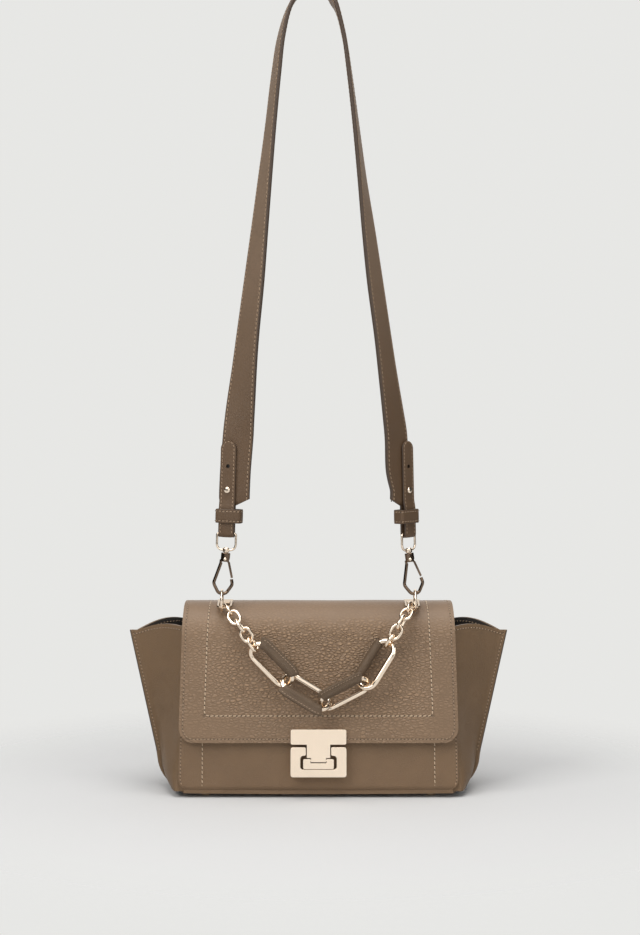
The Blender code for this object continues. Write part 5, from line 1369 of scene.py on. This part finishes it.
def make_rivet_head(pin, body):
    """The domed head of the pin on the front of the hook's collar."""
    points = [v.co for v in pin.data.vertices]
    middle = sum(points, Vector()) / len(points)
    front = min(p.y for p in points)
    deselect()
    spot = (middle.x, front + GAP, middle.z)
    bpy.ops.mesh.primitive_uv_sphere_add(
        segments=28, ring_count=14, radius=RIVET_RADIUS, location=spot, scale=(1.0, 0.5, 1.0)
    )
    head = bpy.context.object
    bpy.ops.object.transform_apply(location=True, rotation=True, scale=True)
    head.name = head.data.name = pin.name.replace("_polished", "_head")
    paint(head, FINISHES["gold"])
    head.data.shade_smooth()
    settle(head, body, "pale_gold")


def make_hooks():
    gold, hook = FINISHES["gold"], FINISHES["hook"]
    for side in SIDES.values():
        polished(side + "_ring", gold, level=1, fuller=RING_FULLER)
        polished(side + "_anchor", FINISHES["anchor"], remesh=0.00026)
        polished(side + "_hook", hook, remesh=0.00024)
        polished(side + "_swivel_loop", gold, remesh=0.00026)
        reach_nose(polished(side + "_gate", hook, bevel=0.00025))
        pin = polished(side + "_gate_pin", gold, bevel=0.00012)
        make_rivet_head(pin, frame["nodes"][side + "_gate_pin"]["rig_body"])


def hook_top(side):
    """The lowest wire of the hook, where it hangs on its ring."""
    angle = math.radians(RING_ANGLE)
    outward = Vector((0.0, -math.sin(angle), math.cos(angle)))
    behind = SHOULDER_BEND * math.tan(math.pi / 4 - FLAP_LEAN / 2)
    centre = Vector((0.0, behind - SHOULDER_DEPTH, CROWN_HEIGHT - SHOULDER_BEND))
    arc = centre + outward * (SHOULDER_BEND + ANCHOR_STAND_OFF) + ACROSS * side * (ANCHOR_SPREAD + RING_ASIDE)
    ring = arc + UPWARD * (RING_RADIUS - 2 * RING_WIRE - GAP)
    return ring + UPWARD * (RING_RADIUS - RING_WIRE - GAP - HOOK_WIRE)


def upright(lean, side):
    return Vector((-side * math.sin(math.radians(lean)), 0.0, math.cos(math.radians(lean))))


def hanger_frame(side):
    """Y up along the strap's end and Z to its front, from the hook's swivel."""
    turn = math.radians(END_TURNS[side])
    up = upright(END_LEANS[side], side)
    front = Vector((side * math.sin(turn), -math.cos(turn), 0.0))
    across = up.cross(front).normalized()
    z = across.cross(up).normalized()
    boss = hook_top(side) + upright(HOOK_LEANS[side], side) * BOSS_MIDDLE
    return Matrix.Translation(boss - up * BOSS_MIDDLE) @ Matrix((across, up, z)).transposed().to_4x4()


class Station:
    """One cross-section of a leather band."""

    def __init__(self, middle, across, front, width, thickness):
        self.middle = middle
        self.across = across.normalized()
        self.front = front.normalized()
        self.width = width
        self.thickness = thickness


def band_row(station, seam, depth):
    """Points round one section: two soft faces with drawn-in stitch lines and rounded edges."""
    w, t = station.width / 2, station.thickness / 2
    round_edge = min(t * 0.75, w * 0.9)
    shares = []
    inner = w - round_edge
    for x in (0.0, 0.45, 0.8):
        shares.append(inner * x)
    for x in (seam + 0.0013, seam + 0.0006, seam, seam - 0.0006, seam - 0.0012):
        narrow = inner * 0.8 + inner * 0.18 * (seam + 0.0013 - x) / 0.0025
        shares.append(max(w - x, 0.0) if w > seam * 1.6 else narrow)
    shares.append(inner)
    positive = sorted(set(round(min(s, inner), 7) for s in shares))
    while len(positive) < 9:
        positive.append(positive[-1] + 1e-7)
    xs = [-x for x in reversed(positive)] + positive[1:]

    def rise(x):
        dip = groove(w - abs(x) - seam, depth, 0.0006)
        crown = BAND_CROWN * station.thickness * (1 - (x / max(w, 1e-6)) ** 2)
        return t - dip + crown

    edge = []
    for a in (30, 60, 90, 120, 150):
        angle = math.radians(a)
        level = (t - round_edge) * (1 if a < 90 else -1 if a > 90 else 0)
        edge.append((round_edge * math.sin(angle), level + round_edge * math.cos(angle)))
    row = [(x, rise(x)) for x in xs] + [(inner + x, y) for x, y in edge]
    row += [(x, -rise(x)) for x in reversed(xs)] + [(-inner - x, y) for x, y in reversed(edge)]
    return [station.middle + station.across * x + station.front * y for x, y in row]


def make_band(name, stations, seam=0.0022, depth=0.00022):
    rows = [[p + SHIFT for p in band_row(s, seam, depth)] for s in stations]
    piece = loft(name, rows, closed=True)
    close_ends(piece)
    return piece


def edge_faces(piece, stations):
    """Marks the faces on the cut edges of a band, which are painted."""
    middles = [s.middle + SHIFT for s in stations]
    found = set()
    for face in piece.data.polygons:
        near = min(range(len(middles)), key=lambda i: (middles[i] - face.center).length_squared)
        if abs(face.normal.dot(stations[near].across)) > 0.62:
            found.add(face.index)
    return found


def end_axes(side):
    """The swivel's bar at one end of the strap, and the directions across, up and out of the front there."""
    place = hanger_frame(side)
    turned = place.to_3x3()
    return place @ Vector((0.0, BAR_HEIGHT, 0.0)), turned.col[0], turned.col[1], turned.col[2]


def end_stations(side):
    """The folded end from its tip down the front, round the bar and up the back."""
    bar, across, up, front = end_axes(side)

    def at(height, lift, facing=front, width=TAB_WIDTH):
        return Station(bar + up * height + front * lift, across, facing, width, TAB_THICKNESS)

    tab = []
    for share in (0.012, 0.04, 0.09, 0.16, 0.26, 0.40, 0.58, 0.8, 1.0):
        rounded = TAB_WIDTH * math.sqrt(1 - (1 - share) ** 2)
        tab.append(at(TAB_LENGTH - share * TAB_WIDTH / 2, CLOSE, width=rounded))
    tab += [at(lerp(TAB_STRAIGHT, TAB_LEAVES, k / 10), CLOSE) for k in range(1, 11)]
    for share in (0.25, 0.5, 0.75, 1.0):
        ease = share * share * (3 - 2 * share)
        tab.append(at(lerp(TAB_LEAVES, TAB_MEETS, share), lerp(CLOSE, FOLD, ease)))
    tab += [at(lerp(TAB_MEETS, 0.0, k / 5), FOLD) for k in range(1, 6)]
    for step in range(1, 12):
        turn = math.pi * step / 12
        outward = front * math.cos(turn) - up * math.sin(turn)
        tab.append(Station(bar + outward * FOLD, across, outward, TAB_WIDTH, TAB_THICKNESS))
    tab += [at(height, -FOLD, -front) for height in (0.0, 0.006, 0.012, 0.018, 0.0245)]
    return tab


def wide_middles(side):
    bar, across, up, front = end_axes(side)
    inner = across if across.x * side < 0 else -across
    found = []
    for height in (TAB_LEAVES, STUD_HEIGHT + STUD_HEAD):
        found.append((bar + up * height - front * FOLD + inner * TAB_ASIDE, front))
    depth = bar.y
    for i, (rise, share, turn) in enumerate(zip(RISE_SHARES, SPREAD_SHARES[side], TURNS[side])):
        x = CENTRE + side * share * SPREAD
        angle = math.radians(turn)
        normal = Vector((side * math.sin(angle), -math.cos(angle), 0.0))
        if i < 3:
            depth = bar.y - (FOLD + (x - bar.x) * front.x + rise * RISE * front.z) / front.y
        found.append((Vector((x, depth, bar.z + rise * RISE)), normal))
    return found


def smooth_run(points, between):
    found = []
    count = len(points)
    for i in range(count - 1):
        p0, p1, p2, p3 = (points[min(max(k, 0), count - 1)] for k in (i - 1, i, i + 1, i + 2))
        for step in range(between):
            t = step / between
            curve = p1 * 2 + (p2 - p0) * t + (p0 * 2 - p1 * 5 + p2 * 4 - p3) * t * t
            found.append((curve + (p1 * 3 - p0 - p2 * 3 + p3) * t**3) / 2)
    found.append(points[-1])
    return found


def wide_stations():
    left, right = wide_middles(LEFT), wide_middles(RIGHT)
    bar = hanger_frame(LEFT) @ Vector((0.0, BAR_HEIGHT, 0.0))
    apex = Vector((CENTRE, left[-1][0].y, bar.z + RISE))
    middles = smooth_run([m for m, _ in left] + [apex] + [m for m, _ in reversed(right)], 12)
    normals = smooth_run([n for _, n in left] + [UPWARD] + [n for _, n in reversed(right)], 12)
    found = []
    for i, (middle, normal) in enumerate(zip(middles, normals)):
        along = (middles[min(i + 1, len(middles) - 1)] - middles[max(i - 1, 0)]).normalized()
        front = (normal - along * normal.dot(along)).normalized()
        found.append(Station(middle, along.cross(front), front, STRAP_WIDTH, STRAP_THICKNESS))
    for i in range(1, len(found)):
        if found[i].across.dot(found[i - 1].across) < 0:
            found[i].across = -found[i].across
    return found


def chamfered(stations):
    """The wide band with its two ends narrowed to the tab's width by a short chamfer."""
    ends = []
    for end, side in ((0, LEFT), (-1, RIGHT)):
        first = stations[end]
        bar, _, up, front = end_axes(side)
        pieces = []
        for share in (0.0, 0.12, 0.3, 0.5, 0.7, 0.88):
            middle = (bar + up * CHAMFER_START - front * FOLD).lerp(first.middle, share)
            width = lerp(TAB_WIDTH * 0.98, STRAP_WIDTH, share)
            thickness = lerp(TAB_THICKNESS, STRAP_THICKNESS, min(share * 2, 1.0))
            pieces.append(Station(middle, first.across, first.front, width, thickness))
        ends.append(pieces)
    return ends[0] + stations + ends[1][::-1]


def seam_of(stations, seam, side, face, start=0, end=None):
    """A stitch line along one side of a band, on its front (1) or back (-1)."""
    points, outs = [], []
    for s in stations[start:end]:
        half = max(s.width / 2 - seam, 0.0)
        crown = BAND_CROWN * s.thickness * (1 - (half / (s.width / 2)) ** 2)
        lift = face * (s.thickness / 2 + crown - 0.00016)
        points.append(s.middle + s.across * side * half + s.front * lift + SHIFT)
        outs.append(s.front * face)
    return points, outs


def tab_seam(stations, seam):
    """The stitch line down a tab's both sides and round its tip, on the outer face."""
    left, right, outs = [], [], []
    for s in stations:
        half = s.width / 2 - seam
        if half < 0.0006:
            continue
        lift = s.thickness / 2 - 0.00012
        left.append(s.middle - s.across * half + s.front * lift + SHIFT)
        right.append(s.middle + s.across * half + s.front * lift + SHIFT)
        outs.append(s.front)
    return left[::-1] + right, outs[::-1] + outs


def make_strap():
    wide = chamfered(wide_stations())
    band = make_band("strap_band", wide)
    edges = edge_faces(band, wide)
    paint(band, FINISHES["strap"], FINISHES["edge"], lambda f: f.index in edges)
    smooth_by_angle(band, 60.0)
    settle(band, "strap", "strap_leather", "strap")
    runs = [seam_of(wide, STRAP_SEAM, side, face, 5, -5) for side in (-1, 1) for face in (1, -1)]
    sew("strap_stitches", runs, "strap", "strap", "strap_leather")
    for side in (LEFT, RIGHT):
        make_tab(side)
        make_keeper(side)
        polished(SIDES[side] + "_stud", FINISHES["gold"], bevel=0.0003)


def strap_cylinder(side, radius, depth, height, lift):
    """A cylinder through the strap's end, at a height above the bar and a distance in front of it."""
    deselect()
    bpy.ops.mesh.primitive_cylinder_add(vertices=24, radius=radius, depth=depth)
    piece = bpy.context.object
    spot = Matrix.Translation((0.0, BAR_HEIGHT + height, lift))
    piece.matrix_world = Matrix.Translation(SHIFT) @ hanger_frame(side) @ spot
    return piece


def make_tab(side):
    stations = end_stations(side)
    name = SIDES[side]
    tab = make_band(name + "_tab", stations, TAB_SEAM, 0.00018)
    for height, radius in ((SPARE_HEIGHT, SPARE_HOLE), (STUD_HEIGHT, STUD_HOLE)):
        cutter = strap_cylinder(side, radius, 0.006, height, CLOSE)
        apply_modifier(tab, "BOOLEAN", operation="DIFFERENCE", solver="EXACT", object=cutter)
        bpy.data.objects.remove(cutter, do_unlink=True)
    edges = edge_faces(tab, stations)
    paint(tab, FINISHES["strap"], FINISHES["edge"], lambda f: f.index in edges)
    smooth_by_angle(tab, 50.0)
    settle(tab, "strap", "strap_leather")
    # A near-black disc just behind the tab at its spare opening: painted shade seen through it.
    shade = strap_cylinder(side, SPARE_SHADE, 0.0003, SPARE_HEIGHT, CLOSE - TAB_THICKNESS / 2 - 0.00012)
    shade.name = shade.data.name = name + "_hole_shade"
    edit(shade, lambda: bpy.ops.mesh.bevel(offset=0.00005, segments=1))
    paint(shade, FINISHES["hole"])
    settle(shade, "strap", "strap_leather")
    sew(name + "_tab_stitches", [tab_seam(stations[1:-16], TAB_SEAM)], "tab", "strap", "strap_leather")


def make_keeper(side):
    """A leather loop round the tab and the band, sewn along both its edges."""
    name = SIDES[side] + "_keeper"
    place = hanger_frame(side)
    middle = BAR_HEIGHT + KEEPER_BOTTOM + KEEPER_HEIGHT / 2
    x, z = KEEPER_HALF_WIDTH - KEEPER_WALL / 2, KEEPER_HALF_DEPTH - KEEPER_WALL / 2
    corners = [Vector((-x, 0.0, -z)), Vector((x, 0.0, -z)), Vector((x, 0.0, z)), Vector((-x, 0.0, z))]
    full = filled(rounded_path(corners, [0.0016] * 4, steps=6, closed=True), 0.0015)
    stations = []
    count = len(full)
    turned = place.to_3x3()
    for i, point in enumerate(full):
        along = (full[(i + 1) % count] - full[i - 1]).normalized()
        out = Vector((along.z, 0.0, -along.x))
        if out.dot(point) < 0:
            out = -out
        spot = place @ (point + Vector((-side * KEEPER_ASIDE, middle, 0.0)))
        stations.append(Station(spot, turned @ Vector((0.0, 1.0, 0.0)), turned @ out, KEEPER_HEIGHT, KEEPER_WALL))
    rows = [[p + SHIFT for p in band_row(s, TAB_SEAM, 0.00022)] for s in stations]
    rows.append(rows[0])
    keeper = loft(name + "_leather", rows, closed=True)
    edit(keeper, merge, face_out)
    edges = edge_faces(keeper, stations)
    paint(keeper, FINISHES["strap"], FINISHES["edge"], lambda f: f.index in edges)
    smooth_by_angle(keeper, 60.0)
    settle(keeper, name, "strap_leather", name)
    closed = stations + stations[:1]
    runs = [seam_of(closed, TAB_SEAM, edge, 1) for edge in (-1, 1)]
    sew(name + "_stitches", runs, "tab", name, "strap_leather")


def make_floor():
    deselect()
    bpy.ops.mesh.primitive_circle_add(vertices=96, radius=4.0, fill_type="NGON")
    floor = bpy.context.object
    floor.name = "floor"
    n = surface("studio_floor")
    coordinates = n.add("ShaderNodeTexCoord")
    length = n.add("ShaderNodeVectorMath", operation="LENGTH")
    n.link(coordinates.outputs["Object"], length.inputs[0])
    far = n.ramp(length.outputs["Value"], 0.19, 0.46, 0.0, 1.0)
    paths = n.add("ShaderNodeLightPath")
    fade = n.math("MULTIPLY", far, paths.outputs["Is Camera Ray"])
    n.shader.inputs["Base Color"].default_value = (0.60, 0.605, 0.612, 1.0)
    n.shader.inputs["Roughness"].default_value = 0.75
    n.shader.inputs["Specular IOR Level"].default_value = 0.12
    clear = n.add("ShaderNodeBsdfTransparent")
    mixed = n.blend(fade, n.shader.outputs[0], clear.outputs[0])
    n.link(mixed, n.tree.nodes["Material Output"].inputs["Surface"])
    floor.data.materials.append(n.owner)


def make_world():
    """Pale light, with a bright middle and dim sides in what the metal mirrors."""
    n = Nodes(bpy.data.worlds.new("studio_light"))
    bpy.context.scene.world = n.owner
    n.tree.nodes.clear()
    paths = n.add("ShaderNodeLightPath")
    parts = n.add("ShaderNodeSeparateXYZ")
    n.link(n.add("ShaderNodeTexCoord").outputs["Generated"], parts.inputs[0])
    shade = n.ramp(n.math("ABSOLUTE", parts.outputs["X"]), 0.18, 0.52, 1.12, 0.05, "LINEAR")
    below = n.ramp(parts.outputs["Z"], -0.50, -0.10, 0.12, 1.0, "LINEAR")
    seen = n.background((0.800, 0.800, 0.782), 1.0)
    light = n.background((1.0, 0.995, 0.985), 0.36)
    mirror = n.background((1.0, 0.99, 0.975), n.math("MULTIPLY", shade, below))
    shiny = n.math("MAXIMUM", paths.outputs["Is Glossy Ray"], paths.outputs["Is Transmission Ray"])
    chosen = n.blend(paths.outputs["Is Camera Ray"], n.blend(shiny, light, mirror), seen)
    n.link(chosen, n.add("ShaderNodeOutputWorld").inputs["Surface"])


def make_camera():
    data = bpy.data.cameras.new("camera")
    camera = bpy.data.objects.new("camera", data)
    bpy.context.scene.collection.objects.link(camera)
    camera.location = (0.0, -1.6318, 0.3373)
    camera.rotation_euler = (math.pi / 2, 0.0, 0.0)
    data.sensor_width = 36.0
    data.lens = 75.1
    data.shift_x = 0.0016
    data.shift_y = -0.0875
    data.dof.use_dof = False
    bpy.context.scene.camera = camera
    bpy.context.scene.view_settings.view_transform = "Standard"


def add_softbox(name, spot, size, power, mirrored):
    data = bpy.data.lights.new(name, "AREA")
    data.size = size
    data.energy = power
    data.color = (1.0, 0.985, 0.96)
    light = bpy.data.objects.new(name, data)
    bpy.context.scene.collection.objects.link(light)
    light.location = spot
    aim = Vector((0.0, 0.0, 0.15)) - Vector(spot)
    light.rotation_euler = aim.to_track_quat("-Z", "Y").to_euler()
    light.visible_glossy = mirrored


def make_stage():
    make_floor()
    make_world()
    for light in LIGHTS:
        add_softbox(*light)
    make_camera()


def colour_setting(name, description, default):
    return bpy.props.FloatVectorProperty(
        name=name, description=description, subtype="COLOR", size=3, min=0.0, max=1.0, default=default
    )


class HandbagLook(bpy.types.PropertyGroup):
    """Colours and grain sizes of the bag's finishes."""

    flap_colour: colour_setting("Flap", "Colour of the flap's pebbled leather", (0.184, 0.120, 0.073))
    body_colour: colour_setting("Body", "Colour of the panels' leather", (0.162, 0.101, 0.056))
    # The body's leather darkened as painted shade on the side-facing gussets.
    wing_colour: colour_setting("Wings", "Colour of the gussets' leather", (0.150, 0.092, 0.048))
    strap_colour: colour_setting("Strap", "Colour of the strap's upper part", (0.205, 0.142, 0.096))
    strap_low_colour: colour_setting("Strap ends", "Colour of the strap's lower ends", (0.098, 0.058, 0.031))
    sleeve_colour: colour_setting("Sleeves", "Colour of the links' leather sleeves", (0.106, 0.069, 0.041))
    edge_colour: colour_setting("Edge paint", "Colour of the sealed leather edges", (0.060, 0.038, 0.025))
    contrast_colour: colour_setting("Contrast thread", "Colour of the pale stitch lines", (0.66, 0.50, 0.35))
    thread_colour: colour_setting("Edge thread", "Colour of the edge stitches", (0.40, 0.28, 0.185))
    lining_colour: colour_setting("Lining", "Colour of the lining cloth", (0.024, 0.016, 0.011))
    gold_colour: colour_setting("Gold", "Colour of the pale gold fittings", (0.93, 0.785, 0.63))
    # The hooks' gold, darkened to near black as painted shade.
    hook_colour: colour_setting("Hooks", "Colour of the hooks' plate", (0.17, 0.12, 0.085))
    # A dimmed copy of the gold, as painted shade on the anchors.
    anchor_colour: colour_setting("Anchors", "Colour of the ring anchors' plate", (0.62, 0.49, 0.36))
    flap_grain: bpy.props.FloatProperty(
        name="Flap grain", description="Width of one pebble on the flap", default=0.0038, min=0.0005, unit="LENGTH"
    )
    body_grain: bpy.props.FloatProperty(
        name="Body grain", description="Width of one pebble on the body", default=0.0015, min=0.0005, unit="LENGTH"
    )


class HANDBAG_OT_shell(bpy.types.Operator):
    """Adds the front, back and base panels with their stitches"""

    bl_idname = "handbag.shell"
    bl_label = "Shell"

    def execute(self, context):
        finishes()
        make_panel("front_panel_leather", FRONT, PANEL_TOP, (FRONT_SEAM,), "front_panel")
        make_panel("back_panel_leather", BACK, BACK_TOP, (), "back_panel")
        make_base()
        for name, side, top in (("front", FRONT, PANEL_TOP), ("back", BACK, BACK_TOP)):
            runs = panel_seams(side, top, PANEL_FOOT + 0.004, top - 0.002, 40)
            sew(name + "_edge_stitches", runs, "body", "bag", "body_leather")
        runs = panel_seams(FRONT, PANEL_TOP, PANEL_FOOT + 0.0015, PANEL_TOP - 0.010, 30, FRONT_SEAM)
        sew("front_contrast_stitches", runs, "front", "bag", "body_leather")
        paint(frame["nodes"]["base_board"], FINISHES["board"])
        return {"FINISHED"}


class HANDBAG_OT_wings(bpy.types.Operator):
    """Adds the two pinched gussets with their stitches"""

    bl_idname = "handbag.wings"
    bl_label = "Gussets"

    def execute(self, context):
        finishes()
        for side in (LEFT, RIGHT):
            make_wing(side)
            sew(SIDES[side] + "_wing_stitches", wing_seams(side), "body", "bag", "body_leather")
        return {"FINISHED"}


class HANDBAG_OT_lining(bpy.types.Operator):
    """Adds the cloth lining"""

    bl_idname = "handbag.lining"
    bl_label = "Lining"

    def execute(self, context):
        finishes()
        make_lining()
        return {"FINISHED"}


class HANDBAG_OT_flap(bpy.types.Operator):
    """Adds the flap, its lining and its stitches"""

    bl_idname = "handbag.flap"
    bl_label = "Flap"

    def execute(self, context):
        finishes()
        make_flap()
        return {"FINISHED"}


class HANDBAG_OT_clasp(bpy.types.Operator):
    """Polishes the clasp and the feet"""

    bl_idname = "handbag.clasp"
    bl_label = "Clasp and feet"

    def execute(self, context):
        finishes()
        make_clasp()
        return {"FINISHED"}


class HANDBAG_OT_chain(bpy.types.Operator):
    """Adds the large links with their leather sleeves and polishes the small links"""

    bl_idname = "handbag.chain"
    bl_label = "Chain"

    def execute(self, context):
        finishes()
        make_chain()
        return {"FINISHED"}


class HANDBAG_OT_hooks(bpy.types.Operator):
    """Polishes the rings, hooks, gates and swivel loops"""

    bl_idname = "handbag.hooks"
    bl_label = "Hooks"

    def execute(self, context):
        finishes()
        make_hooks()
        return {"FINISHED"}


class HANDBAG_OT_strap(bpy.types.Operator):
    """Adds the strap, its folded ends and its keepers"""

    bl_idname = "handbag.strap"
    bl_label = "Strap"

    def execute(self, context):
        finishes()
        make_strap()
        return {"FINISHED"}


class HANDBAG_OT_stage(bpy.types.Operator):
    """Adds the floor, the lights and the camera"""

    bl_idname = "handbag.stage"
    bl_label = "Stage"

    def execute(self, context):
        make_stage()
        return {"FINISHED"}


OPERATORS = (
    HANDBAG_OT_shell,
    HANDBAG_OT_wings,
    HANDBAG_OT_lining,
    HANDBAG_OT_flap,
    HANDBAG_OT_clasp,
    HANDBAG_OT_chain,
    HANDBAG_OT_hooks,
    HANDBAG_OT_strap,
    HANDBAG_OT_stage,
)


class HANDBAG_PT_panel(bpy.types.Panel):
    """The bag's settings and steps, in the 3D view's sidebar"""

    bl_idname = "HANDBAG_PT_panel"
    bl_label = "Handbag"
    bl_space_type = "VIEW_3D"
    bl_region_type = "UI"
    bl_category = "Handbag"

    def draw(self, context):
        look = context.scene.handbag_look
        for setting in look.__annotations__:
            self.layout.prop(look, setting)
        for step in OPERATORS:
            self.layout.operator(step.bl_idname)


def register():
    bpy.utils.register_class(HandbagLook)
    for step in OPERATORS:
        bpy.utils.register_class(step)
    bpy.utils.register_class(HANDBAG_PT_panel)
    bpy.types.Scene.handbag_look = bpy.props.PointerProperty(type=HandbagLook)


def unregister():
    del bpy.types.Scene.handbag_look
    bpy.utils.unregister_class(HANDBAG_PT_panel)
    for step in reversed(OPERATORS):
        bpy.utils.unregister_class(step)
    bpy.utils.unregister_class(HandbagLook)


def main():
    register()
    bpy.ops.handbag.shell()
    bpy.ops.handbag.wings()
    bpy.ops.handbag.lining()
    bpy.ops.handbag.flap()
    bpy.ops.handbag.clasp()
    bpy.ops.handbag.chain()
    bpy.ops.handbag.hooks()
    bpy.ops.handbag.strap()
    bpy.ops.handbag.stage()


if __name__ == "__main__":
    main()
